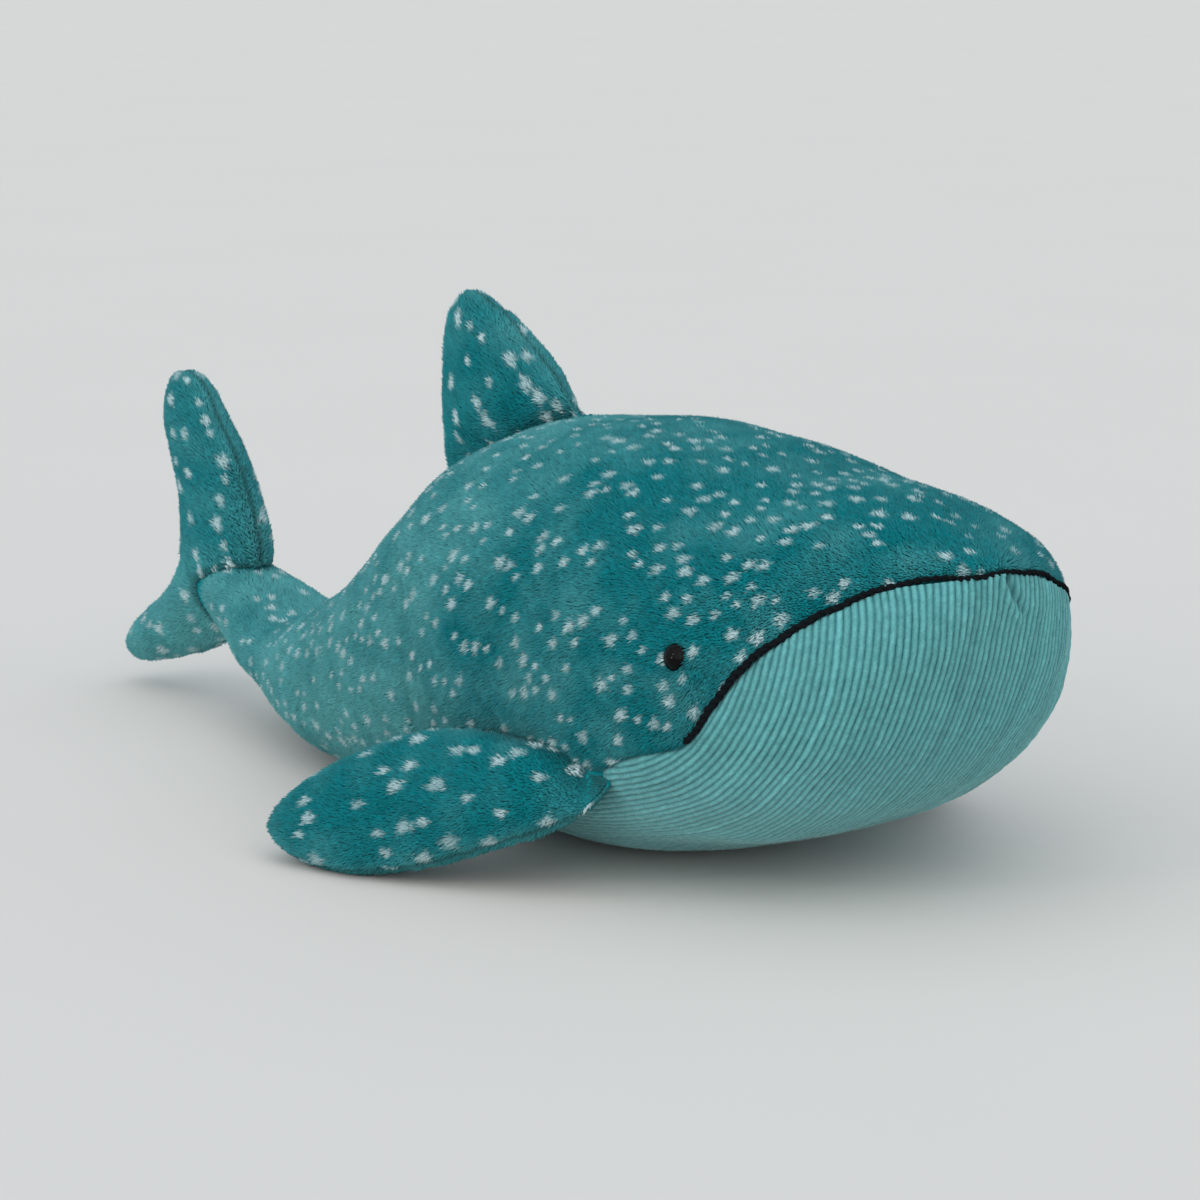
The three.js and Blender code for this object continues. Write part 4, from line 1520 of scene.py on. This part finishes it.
    def build(self) -> bpy.types.Object:
        """The ribbed panel with its edges turned in along the seam.

        Across the panel the ribs are a power of a sine's size, below 1, and a few
        points past the seam form the hem.

        Returns:
            The new object.
        """
        points, distance = self.sections()
        right, left = (self.ends(points, distance, side) for side in (Side.RIGHT, Side.LEFT))
        step = self.rib / self.steps
        half = int(max(right.max(), left.max()) / step) + 4
        columns = np.arange(-half, half + 1) * step
        end = np.where(columns[None] < 0.0, right[:, None], left[:, None])
        reach = np.minimum(np.abs(columns)[None], end)
        beyond = np.clip((np.abs(columns)[None] - end) / step, 0.0, 3.0)
        plain = np.empty((len(points), len(columns), 3))
        for k in range(len(points)):
            for axis in range(3):
                plain[k, :, axis] = np.interp(reach[k], distance[k], points[k, :, axis])
        grid = plain.copy()
        grid[..., 1] *= np.sign(columns)[None]
        away = grid - np.array([self.pivot[0], 0.0, self.pivot[1]])
        normals = self.smooth_normals(plain, np.sign(columns)[None])
        edge = end - reach
        wander = columns[None] + 0.3 * drift(grid, 26.0, 33) + 0.1 * drift(grid, 7.0, 34)
        crest = np.abs(np.sin(math.pi * wander / self.rib)) ** self.rib_power
        # near the seam the ribs sink to the valleys and take their painted shade
        crest = crest * fade(0.1, 1.6, edge) * (1.0 + 0.16 * drift(grid, 4.0, 35))
        dip = self.dip * np.exp(-((edge / self.dip_reach) ** 2))
        pucker = 0.4 * drift(grid, 8.0, 31) * np.exp(-edge / 8.0)
        soft = self.body.lumps(grid) + 0.12 * drift(grid, 5.0, 32)
        fold = self.fold(grid, normals)
        out = soft + pucker - dip - self.depth * (1.0 - crest) - self.hem * beyond + fold
        grid = grid + normals * out[..., None]
        grid[..., 2] = np.maximum(grid[..., 2], FLOOR_CLEARANCE)
        faces = grid_faces(*grid.shape[:2])
        faces = faces[beyond.ravel()[faces].min(axis=1) < 2.9]
        flat = grid.reshape(-1, 3)
        faces = turned_outwards(flat, faces, away.reshape(-1, 3))
        number = np.floor(wander / self.rib).astype(int) + 2 * half
        colours = self.dyes(grid, number, crest, fold)
        uv = grid_map(*grid.shape[:2], faces)
        used, faces = np.unique(faces, return_inverse=True)
        faces = faces.reshape(-1, 4)
        piece = build_object("belly_corduroy", flat[used], faces, self.finishes.corduroy, uv, colours[used])
        log.info("belly, laid flat: %.0f mm across", 2 * end.max())
        return enrol(piece, "corduroy", "torso", ("belly_cord",))


@dataclass
class Mouth:
    """Black yarn laid along the seam over the nose, from corner to corner."""

    body: BodyShape
    finishes: Finishes
    ply: float = 0.84  # radius of a ply
    twist: float = 6.0  # length of one turn
    steps: int = 640
    sides: int = 8
    inside: Place = (60.0, 0.0, 85.0)  # place in the head from which the yarn lies outwards

    def line(self) -> np.ndarray:
        """Points of the mouth line, evenly spaced.

        Returns:
            Points from the right corner to the left one.
        """
        share = np.linspace(-1.0, 1.0, 1600)
        turn = math.pi / 2 * (1.0 - np.abs(share))
        x = self.body.mouth_corner_x + (self.body.nose_x - self.body.mouth_corner_x) * np.sin(turn)
        z = np.where(share < 0.0, self.body.seam(x, Side.RIGHT), self.body.seam(x, Side.LEFT))
        y = np.sign(share) * self.body.side(x, z)
        points = np.stack([x, y, z], axis=1)
        gone = distances(points)
        even = np.linspace(0.0, gone[-1], self.steps)
        return np.stack([np.interp(even, gone, points[:, k]) for k in range(3)], axis=1)

    def build(self) -> bpy.types.Object:
        """Two plies twisted round each other along the mouth line, a little uneven as sewn.

        Each ply's centre turns round the line at a little over half its radius, and
        its own radius is thinner over the nose and closes at the two corners.

        Returns:
            The new object.
        """
        line = self.line()
        forward = unit(np.gradient(line, axis=0))
        out = unit(line - np.array(self.inside))
        out = unit(out - forward * (out * forward).sum(1, keepdims=True))
        beside = np.cross(forward, out)
        gone = distances(line)
        wander = 0.5 * drift(line, 19.0, 41) + 0.3 * drift(line, 7.0, 42)
        rise = self.body.lumps(line) - 0.35 + 0.3 * drift(line, 11.0, 43)
        line = line + beside * wander[:, None] + out * rise[:, None]
        turns = np.linspace(0.0, TURN, self.sides, endpoint=False)[None, :, None]
        ring = out[:, None] * np.cos(turns) + beside[:, None] * np.sin(turns)
        ends = np.minimum(np.minimum(gone, gone[-1] - gone) / 2.0, 1.0) ** 0.5
        quads = grid_faces(self.steps, self.sides, wrap=True)
        plies = []
        for k in range(2):
            angle = (TURN * gone / self.twist + math.pi * k + 0.6 * drift(line, 21.0, 44))[:, None]
            centre = line + (out * np.cos(angle) + beside * np.sin(angle)) * self.ply * 0.55
            thick = self.ply * (1.0 + 0.2 * drift(line, 5.0, 45 + k)) * np.maximum(ends, 0.05)
            thick = thick * (1.1 - 0.42 * fade(115.0, 160.0, line[:, 0]))
            plies.append((centre[:, None] + ring * thick[:, None, None]).reshape(-1, 3))
        points = np.concatenate(plies)
        quads = np.concatenate([quads, quads + self.steps * self.sides])
        quads = turned_outwards(points, quads, np.concatenate([ring.reshape(-1, 3)] * 2))
        piece = build_object("mouth_stitching", points, quads, self.finishes.yarn)
        log.info("mouth: %.0f mm of yarn", gone[-1])
        return enrol(piece, "yarn", "torso", ("mouth_yarn",))


@dataclass
class Eyes:
    """Two bead eyes on shanks, each held by a lock washer behind the cloth."""

    body: BodyShape
    finishes: Finishes
    place: tuple[float, float] = (89.5, 89.0)
    radius: float = 5.0
    dome: float = 4.5
    sink: float = 2.7  # how deep the rim sits below the cloth
    rim: float = 0.5
    shank: float = 2.0
    ribs: int = 7  # on the shank
    tail: float = 8.3  # depth of the shank's end
    sides: int = 48

    def on_cloth(self, x: float, z: float, side: Side) -> np.ndarray:
        """Point of the cloth at a place and height, on one side."""
        return np.array([x, side.value * float(self.body.side(np.array(x), np.array(z))), z])

    def axes(self, side: Side) -> tuple[np.ndarray, np.ndarray, np.ndarray]:
        """Directions at an eye, from the cloth a millimetre round it.

        Args:
            side: left or right.

        Returns:
            Two directions along the cloth and the one out of it.
        """
        x, z = self.place
        along = unit(self.on_cloth(x + 1.0, z, side) - self.on_cloth(x - 1.0, z, side))
        up = self.on_cloth(x, z + 1.0, side) - self.on_cloth(x, z - 1.0, side)
        out = unit(np.cross(up, along) * side.value)
        return along, np.cross(out, along), out

    def profile(self) -> tuple[np.ndarray, np.ndarray]:
        """Outline of an eye from the middle of its front to the end of its shank.

        Radius times cosine and dome times sine over the front, then the quarter round
        of the rim, the flat back and the shank with its ribs.

        Returns:
            Radii, and heights above the cloth.
        """
        bend = np.linspace(math.pi / 2, 0.0, 20)
        edge = np.linspace(0.0, math.pi / 2, 6)[1:]
        down = np.linspace(0.0, 1.0, 22)
        foot = self.sink + 0.9
        radii = [
            self.radius * np.cos(bend),
            self.radius - self.rim + self.rim * np.cos(edge),
            [self.shank + 0.3],
            self.shank + 0.12 * np.sin(down * TURN * self.ribs),
            [0.0],
        ]
        heights = [
            self.dome * np.sin(bend) - self.sink,
            -self.sink - self.rim * np.sin(edge),
            [-self.sink - 0.6],
            -foot - (self.tail - foot) * down,
            [-self.tail],
        ]
        return np.concatenate(radii), np.concatenate(heights)

    def build(self, side: Side) -> bpy.types.Object:
        """One eye: its outline turned about the direction out of the cloth.

        Args:
            side: left or right.

        Returns:
            The new object.
        """
        radii, heights = self.profile()
        turns = np.linspace(0.0, TURN, self.sides, endpoint=False)[:, None]
        along, third, out = self.axes(side)
        ring = along * np.cos(turns) + third * np.sin(turns)
        centre = self.on_cloth(*self.place, side)
        points = centre + ring[None] * radii[:, None, None] + out * heights[:, None, None]
        flat = points.reshape(-1, 3)
        outward = np.broadcast_to(ring[None], points.shape).reshape(-1, 3) + 0.3 * out
        faces = turned_outwards(flat, grid_faces(len(radii), self.sides, wrap=True), outward)
        piece = build_object(f"bead_eye_{side.word}", flat, faces, self.finishes.bead)
        merge_doubles(piece.data)
        return enrol(piece, "bead", "torso", (f"eye_{side.word}",))

    def dress_washer(self, side: Side) -> None:
        """Gives the lock washer of one eye, a node of the frame, its finish.

        Args:
            side: left or right.
        """
        washer = frame["nodes"][f"eye_washer_{side.word}"]
        washer.data.materials.clear()
        washer.data.materials.append(self.finishes.washer)


@dataclass
class Fin:
    """A stuffed fin: two panels of plush, the pile on them and the filling between."""

    name: str
    blade: Blade
    faces: tuple[str, str]  # names of the upper and lower face
    nodes: tuple[str, str, str]
    body: BodyShape
    plush: Plush
    seed: int
    painted_light: float  # share of painted light that makes the pile paler
    inset: float
    painted_light_below: float = -100.0  # height under which more painted light makes the pile paler
    front: float = 200.0  # no pile is grown ahead of this place
    backing_grid: tuple[int, int] = (44, 26)
    pile_grid: tuple[int, int] = (220, 130)
    filling_grid: tuple[int, int] = (34, 26)
    filling_inset: float = 4.4
    filling_start: float = 18.0  # distance from a sewn root
    filling_lowest: float = 3.6

    def painted_light_share(self, at: Cloth) -> np.ndarray:
        """Share of painted light that makes the pile paler: more of it low down and along the edge.

        Args:
            at: the tufts' roots.

        Returns:
            One share a tuft, 0 to 1.
        """
        low = 1.0 - fade(self.painted_light_below - 18.0, self.painted_light_below + 14.0, at.points[:, 2])
        # painted sheen: paler along the seam round the edge
        rim = np.exp(-at.seam / 5.0)
        patches = 0.14 * drift(at.points, 24.0, self.seed + 7)
        return np.clip(self.painted_light + patches + 0.6 * low + 0.55 * rim, 0.0, 1.0)

    def build(self, rng: np.random.Generator) -> list[bpy.types.Object]:
        """The backing and pile of both faces, and the filling.

        Args:
            rng: the random draw.

        Returns:
            The new objects.
        """
        made = []
        for upper, word, node in zip((True, False), self.faces, self.nodes):
            coarse = self.blade.panel(upper, *self.backing_grid, self.inset + 0.3, self.seed)
            made.append(self.plush.backing(f"{self.name}_backing_{word}", coarse, node))
            fine = self.blade.panel(upper, *self.pile_grid, self.inset, self.seed)
            centres = self.plush.spots.scatter(fine, rng)
            at = fine.spread(self.plush.pile.density, rng)
            at = at.where((self.body.level(at.points) > 0.01) & (at.points[:, 0] < self.front))
            pale = self.plush.spots.paleness(at, centres, rng)
            painted_light = self.painted_light_share(at)
            # near the body a fin's tufts count as at a seam: shorter, and darker as painted shade where the
            # fin meets the body
            at.seam = np.minimum(at.seam, 7.0 * np.maximum(self.body.level(at.points), 0.0))
            made += self.plush.coat(f"{self.name}_pile_{word}", at, pale, painted_light, rng)
        made.append(self.filling())
        return made

    def filling(self) -> bpy.types.Object:
        """Fibre filling: the fin's own shape drawn in, with lumps.

        Returns:
            The new object.
        """
        rows, columns = self.filling_grid
        turns = np.linspace(0.0, TURN, columns, endpoint=False)
        points = self.blade.surface(rows, turns, self.filling_inset, self.filling_start)
        away = unit(points - points.mean(axis=1, keepdims=True))
        points = points + away * (0.35 * drift(points, 9.0, self.seed + 5) - 0.35)[..., None]
        points[..., 2] = np.maximum(points[..., 2], self.filling_lowest)
        piece = capped_tube(f"{self.name}_stuffing", points, away, self.plush.finishes.filling)
        return enrol(piece, "filling", self.plush.bend, self.nodes[2:])


@dataclass
class Stuffing:
    """Fibre filling of the body and tail, and the pouch of beans in its bottom."""

    body: BodyShape
    finishes: Finishes
    bend: Bend
    inset: float = 5.2
    spacing: float = 6.0
    sides: int = 64
    lowest: float = 4.4
    pouch_centre: Place = (15.0, 0.0, 18.0)
    pouch_radii: Place = (62.0, 46.0, 22.0)
    pouch_grid: tuple[int, int] = (44, 72)

    def filling(self) -> bpy.types.Object:
        """The body's own shape drawn in below the cloth, with tufts of fibre.

        Returns:
            The new object.
        """
        x = self.body.places_along(self.spacing)[1:-1, None]
        turns = np.linspace(0.0, TURN, self.sides, endpoint=False)[None]
        points = self.body.point(x, turns, self.inset)
        away = unit(points - self.body.middle(x))
        tufts = 0.5 * drift(points, 14.0, 61) + 0.3 * drift(points, 6.0, 62) - 0.5
        points = points + away * tufts[..., None]
        points[..., 2] = np.maximum(points[..., 2], self.lowest)
        piece = capped_tube("body_stuffing", points, away, self.finishes.filling)
        return enrol(piece, "filling", self.bend, ("torso_filling", "tail_filling"))

    def pouch(self) -> bpy.types.Object:
        """Cloth pouch, bulged by the beans in it and flat where it lies on the belly.

        It is a ball of three radii with beans drawn over it.

        Returns:
            The new object.
        """
        rows, columns = self.pouch_grid
        turns = np.linspace(0.0, TURN, columns, endpoint=False)[None]
        rise = np.linspace(-math.pi / 2, math.pi / 2, rows)[:, None]
        round_it = (np.cos(rise) * np.cos(turns), np.cos(rise) * np.sin(turns), np.sin(rise))
        ball = np.stack(np.broadcast_arrays(*round_it), axis=-1)
        points = np.array(self.pouch_centre) + ball * (np.array(self.pouch_radii) - 0.8)
        beans = 0.5 * drift(points, 7.0, 71) + 0.3 * drift(points, 4.5, 72)
        points = points + ball * beans[..., None]
        points[..., 2] = np.maximum(points[..., 2], self.body.under(points, self.inset + 1.0))
        flat = points.reshape(-1, 3)
        faces = turned_outwards(flat, grid_faces(rows, columns, wrap=True), ball.reshape(-1, 3))
        piece = build_object("bean_pouch_filled", flat, faces, self.finishes.pouch)
        merge_doubles(piece.data)
        return enrol(piece, "pouch", "torso", ("bean_pouch",))


@dataclass
class Studio:
    """Pale floor, soft light and the camera at the photograph's angle."""

    azimuth: float = 51.2
    elevation: float = 10.25
    distance: float = 1500.0
    target: Place = (-49.4, 0.0, 79.3)
    lens: float = 122.7
    backdrop: Colour = (0.655, 0.664, 0.658)
    ground: Colour = (0.785, 0.705, 0.670)
    sky: Colour = (0.66, 0.89, 1.0)
    sky_strength: float = 0.61
    floor_reach: float = 40000.0
    # name, direction from the toy, strength, spread in degrees, colour
    lamps: tuple[tuple[str, Place, float, float, Colour], ...] = (
        ("top", (0.0, -0.1, 1.0), 0.30, 80.0, (1.0, 1.0, 1.0)),
        ("front", (0.77, -0.62, 0.85), 0.86, 90.0, (1.0, 0.95, 0.89)),
        ("low", (0.70, -0.70, 0.28), 0.44, 60.0, (1.0, 0.95, 0.89)),
        ("left", (-0.25, -0.95, 0.50), 0.30, 60.0, (1.0, 0.97, 0.94)),
        ("right", (0.90, -0.20, 0.60), 0.30, 60.0, (1.0, 0.97, 0.94)),
        ("glint_high", (-0.05, -0.88, 0.48), 0.16, 8.0, (1.0, 0.98, 0.96)),
        ("glint_low", (-0.12, -0.97, 0.10), 0.22, 9.0, (1.0, 0.98, 0.96)),
    )

    def camera(self) -> None:
        """The camera, looking at the target from the azimuth and elevation."""
        az, el = math.radians(self.azimuth), math.radians(self.elevation)
        back = np.array([math.sin(az) * math.cos(el), -math.cos(az) * math.cos(el), math.sin(el)])
        data = bpy.data.cameras.new("camera")
        data.lens = self.lens
        data.sensor_width = 36.0
        data.sensor_fit = "HORIZONTAL"
        data.clip_start, data.clip_end = 0.05, 60.0
        camera = bpy.data.objects.new("camera", data)
        bpy.context.scene.collection.objects.link(camera)
        place = row(self.target) + back * self.distance * MM
        turn = Vector(back).to_track_quat("Z", "Y").to_matrix().to_4x4()
        camera.matrix_world = Matrix.Translation(place) @ turn
        bpy.context.scene.camera = camera

    def floor(self) -> None:
        """A wide pale floor that the toy lies on."""
        corners = np.array([[-1, -1, 0], [1, -1, 0], [1, 1, 0], [-1, 1, 0]], float) * self.floor_reach
        material = FloorFinish("studio_floor", self.ground).build()
        build_object("floor", corners, np.array([[0, 1, 2, 3]]), material)

    def lights(self) -> None:
        """Soft light from above and all round the front, two narrow glints and a bluish sky."""
        for name, way, strength, spread, colour in self.lamps:
            data = bpy.data.lights.new(name, "SUN")
            data.energy = strength
            data.color = colour
            data.angle = math.radians(spread)
            lamp = bpy.data.objects.new(name, data)
            bpy.context.scene.collection.objects.link(lamp)
            lamp.matrix_world = Vector(way).to_track_quat("Z", "Y").to_matrix().to_4x4()
        world = bpy.data.worlds.new("studio")
        bpy.context.scene.world = world
        world.use_nodes = True
        graph = Graph(world.node_tree)
        lit, out = (graph.tree.nodes[name] for name in ("Background", "World Output"))
        set_values(lit, Color=self.sky, Strength=self.sky_strength)
        seen = graph.add("Background", Color=self.backdrop)
        path = graph.add("LightPath")
        most, more = (graph.add("Math", operation="MAXIMUM") for _ in range(2))
        mix = graph.add("MixShader")
        graph.link(path, "Is Camera Ray", most, 0)
        graph.link(path, "Is Glossy Ray", most, 1)
        graph.link(most, "Value", more, 0)
        graph.link(path, "Is Transmission Ray", more, 1)
        graph.link(more, "Value", mix, "Fac")
        graph.link(lit, "Background", mix, 1)
        graph.link(seen, "Background", mix, 2)
        graph.link(mix, "Shader", out, "Surface")

    def build(self) -> None:
        """Everything round the toy."""
        self.camera()
        self.floor()
        self.lights()
        bpy.context.scene.view_settings.view_transform = "Standard"
        log.info("studio: %d lamps", len(self.lamps))


def all_finishes(cord: CorduroyFinish) -> Finishes:
    """Builds the toy's materials.

    Args:
        cord: the corduroy's finish.

    Returns:
        The materials and dyes.
    """
    return Finishes(
        pile=PileFinish("plush_pile").build(),
        backing=BackingFinish("plush_backing", (0.006, 0.225, 0.255)).build(),
        corduroy=cord.build(),
        yarn=ThreadFinish(
            "mouth_yarn_black", (0.002, 0.003, 0.004), (0.012, 0.015, 0.018), scale=1200.0,
            depth=0.0005, shine=0.03,
        ).build(),
        filling=ThreadFinish(
            "fibre_filling", (0.62, 0.61, 0.58), (0.86, 0.85, 0.83), scale=160.0, depth=0.0015
        ).build(),
        pouch=ThreadFinish(
            "pouch_weave", (0.52, 0.49, 0.42), (0.70, 0.66, 0.58), scale=1100.0, depth=0.0003
        ).build(),
        bead=PlasticFinish("bead_black", (0.0015, 0.0015, 0.002), 0.07, shine=0.10).build(),
        washer=PlasticFinish("washer_white", (0.72, 0.72, 0.70), 0.45).build(),
        dyes=Dyes(),
    )


def tail_blade() -> Blade:
    """The tail fin, upright behind the tail stock, with a long upper and a short lower lobe.

    Returns:
        The fin.
    """
    stations = (
        (-369, 14, 8.5, 9), (-342, 25, 12.5, 12), (-315, 39, 18.5, 14), (-296.5, 58, 26.5, 15),
        (-300.5, 85.5, 23.5, 13), (-313.5, 111, 18, 11), (-328.5, 137, 14.5, 9),
    )
    x, down, z = (1.0, 0.0, 0.0), (0.0, -1.0, 0.0), (0.0, 0.0, 1.0)
    return Blade(stations, (0.0, 0.0, 0.0), across=x, along=z, face=down, tip=22.0, both_ends=True)


def dorsal_blade(body: BodyShape) -> Blade:
    """The dorsal fin, standing on the line between two places on the back.

    Args:
        body: the body that it is sewn to.

    Returns:
        The fin.
    """
    stations = (
        (6, -9, 49, 13), (6, 0, 45.5, 13), (8, 18, 36.5, 13), (9, 37, 26.5, 11.5), (10, 53.5, 18, 9),
        (13, 66, 14, 7.5),
    )
    ends = np.array([-145.0, -57.0])
    tops = body.section(ends)[1]
    rear, front = np.array([ends[0], 0.0, tops[0]]), np.array([ends[1], 0.0, tops[1]])
    line = unit(front - rear)
    up = np.array([-line[2], 0.0, line[0]])
    lift = 5.4
    origin = tuple((rear + front) / 2 + up * lift)
    return Blade(stations, origin, tuple(line), tuple(up), (0.0, -1.0, 0.0), tip=20.0, taper=22.0)


def flipper_blade() -> Blade:
    """The right flipper, lying out and back from its root with its edge on the floor.

    Returns:
        The fin.
    """
    stations = (
        (0, -4, 10, 12), (0, 6, 12.5, 12), (1, 33, 19.5, 12), (2.5, 65.5, 26, 12.5), (0.2, 99, 23, 12.5),
        (-1, 134.5, 15.8, 10),
    )
    root, tip = np.array([53.5, -83.0, 40.5]), np.array([-63.8, -133.4, 12.4])
    out = unit(tip - root)
    edge = np.array([-0.15, 0.55, 0.82])
    up = unit(edge - out * (edge @ out))
    directions = (tuple(up), tuple(out), tuple(np.cross(up, out)))
    return Blade(stations, tuple(root), *directions, tip=38.0, taper=30.0, root_round=11.0)


def build_fins(body: BodyShape, finishes: Finishes) -> None:
    """Builds the tail fin, the dorsal fin and the two flippers.

    Args:
        body: the body that they are sewn to.
        finishes: the materials and dyes.
    """
    pile = Pile(density=2.4, length=2.4, width=1.02, lean=52.0, ruffle=13.0, crease=0.2, shadow=0.5)
    spots = Spots(each=175.0, apart=6.0, radius=1.6, stretch=1.5)
    sides = ("right", "left")

    def plush(near: str, far: str, start: np.ndarray, end: np.ndarray) -> Plush:
        """Fin plush that bends between two bodies."""
        return Plush(finishes, pile, spots, "fin_plush", Bend(near, far, start, end), fill=0.7)

    name = "tail_fin"
    nodes = (f"{name}_plush_right", f"{name}_plush_left", f"{name}_filling")
    start, end = (np.array([FIN_HINGE_X + reach, 0, 45]) for reach in (FOLD_REACH, -FOLD_REACH))
    cloth = plush("tail", name, start, end)
    tail = Fin(name, tail_blade(), sides, nodes, body, cloth, seed=81, painted_light=0.16, inset=0.9, painted_light_below=62.0)
    tail.build(np.random.default_rng(303))

    name = "dorsal_fin"
    nodes = (f"{name}_plush_right", f"{name}_plush_left", f"{name}_filling")
    blade = dorsal_blade(body)
    root, up = np.array(blade.origin), np.array(blade.along)
    cloth = plush("torso", name, root, root + up * FLOP_REACH)
    dorsal = Fin(name, blade, sides, nodes, body, cloth, seed=83, painted_light=0.12, inset=0.1, front=-59.5)
    dorsal.build(np.random.default_rng(404))

    for side, seed in ((Side.RIGHT, 85), (Side.LEFT, 87)):
        name = f"{side.word}_flipper"
        nodes = (f"{name}_outer_plush", f"{name}_inner_plush", f"{name}_filling")
        blade = flipper_blade() if side is Side.RIGHT else flipper_blade().mirrored()
        root, out = np.array(blade.origin), np.array(blade.along)
        cloth = plush("torso", name, root, root + out * SWING_REACH)
        flipper = Fin(name, blade, ("outer", "inner"), nodes, body, cloth, seed=seed, painted_light=0.0, inset=0.9)
        flipper.build(np.random.default_rng(seed))


def main() -> None:
    """Builds the toy and its surroundings in order."""
    logging.basicConfig(level=logging.INFO, format="%(name)s: %(message)s")
    Studio().build()
    cord = CorduroyFinish("corduroy", crest=(0.125, 0.370, 0.378), shaded_valley=(0.020, 0.125, 0.140))
    finishes = all_finishes(cord)
    body = BodyShape()
    eyes = Eyes(body, finishes)
    start, end = (np.array([TAIL_HINGE_X + reach, 0, 40]) for reach in (SWAY_REACH, -SWAY_REACH))
    sway = Bend("torso", "tail", start, end)
    spots = Spots(each=110.0, apart=5.2, radius=1.4)
    coat = BackCoat(body, eyes, Plush(finishes, Pile(), spots, "plush", sway, fill=0.75))
    coat.build(Side.LEFT, np.random.default_rng(101))
    coat.build(Side.RIGHT, np.random.default_rng(202))
    BellyPanel(body, finishes, cord).build()
    Mouth(body, finishes).build()
    for side in Side:
        eyes.build(side)
        eyes.dress_washer(side)
    stuffing = Stuffing(body, finishes, sway)
    stuffing.filling()
    stuffing.pouch()
    build_fins(body, finishes)
    log.info("built")


if __name__ == "__main__":
    main()
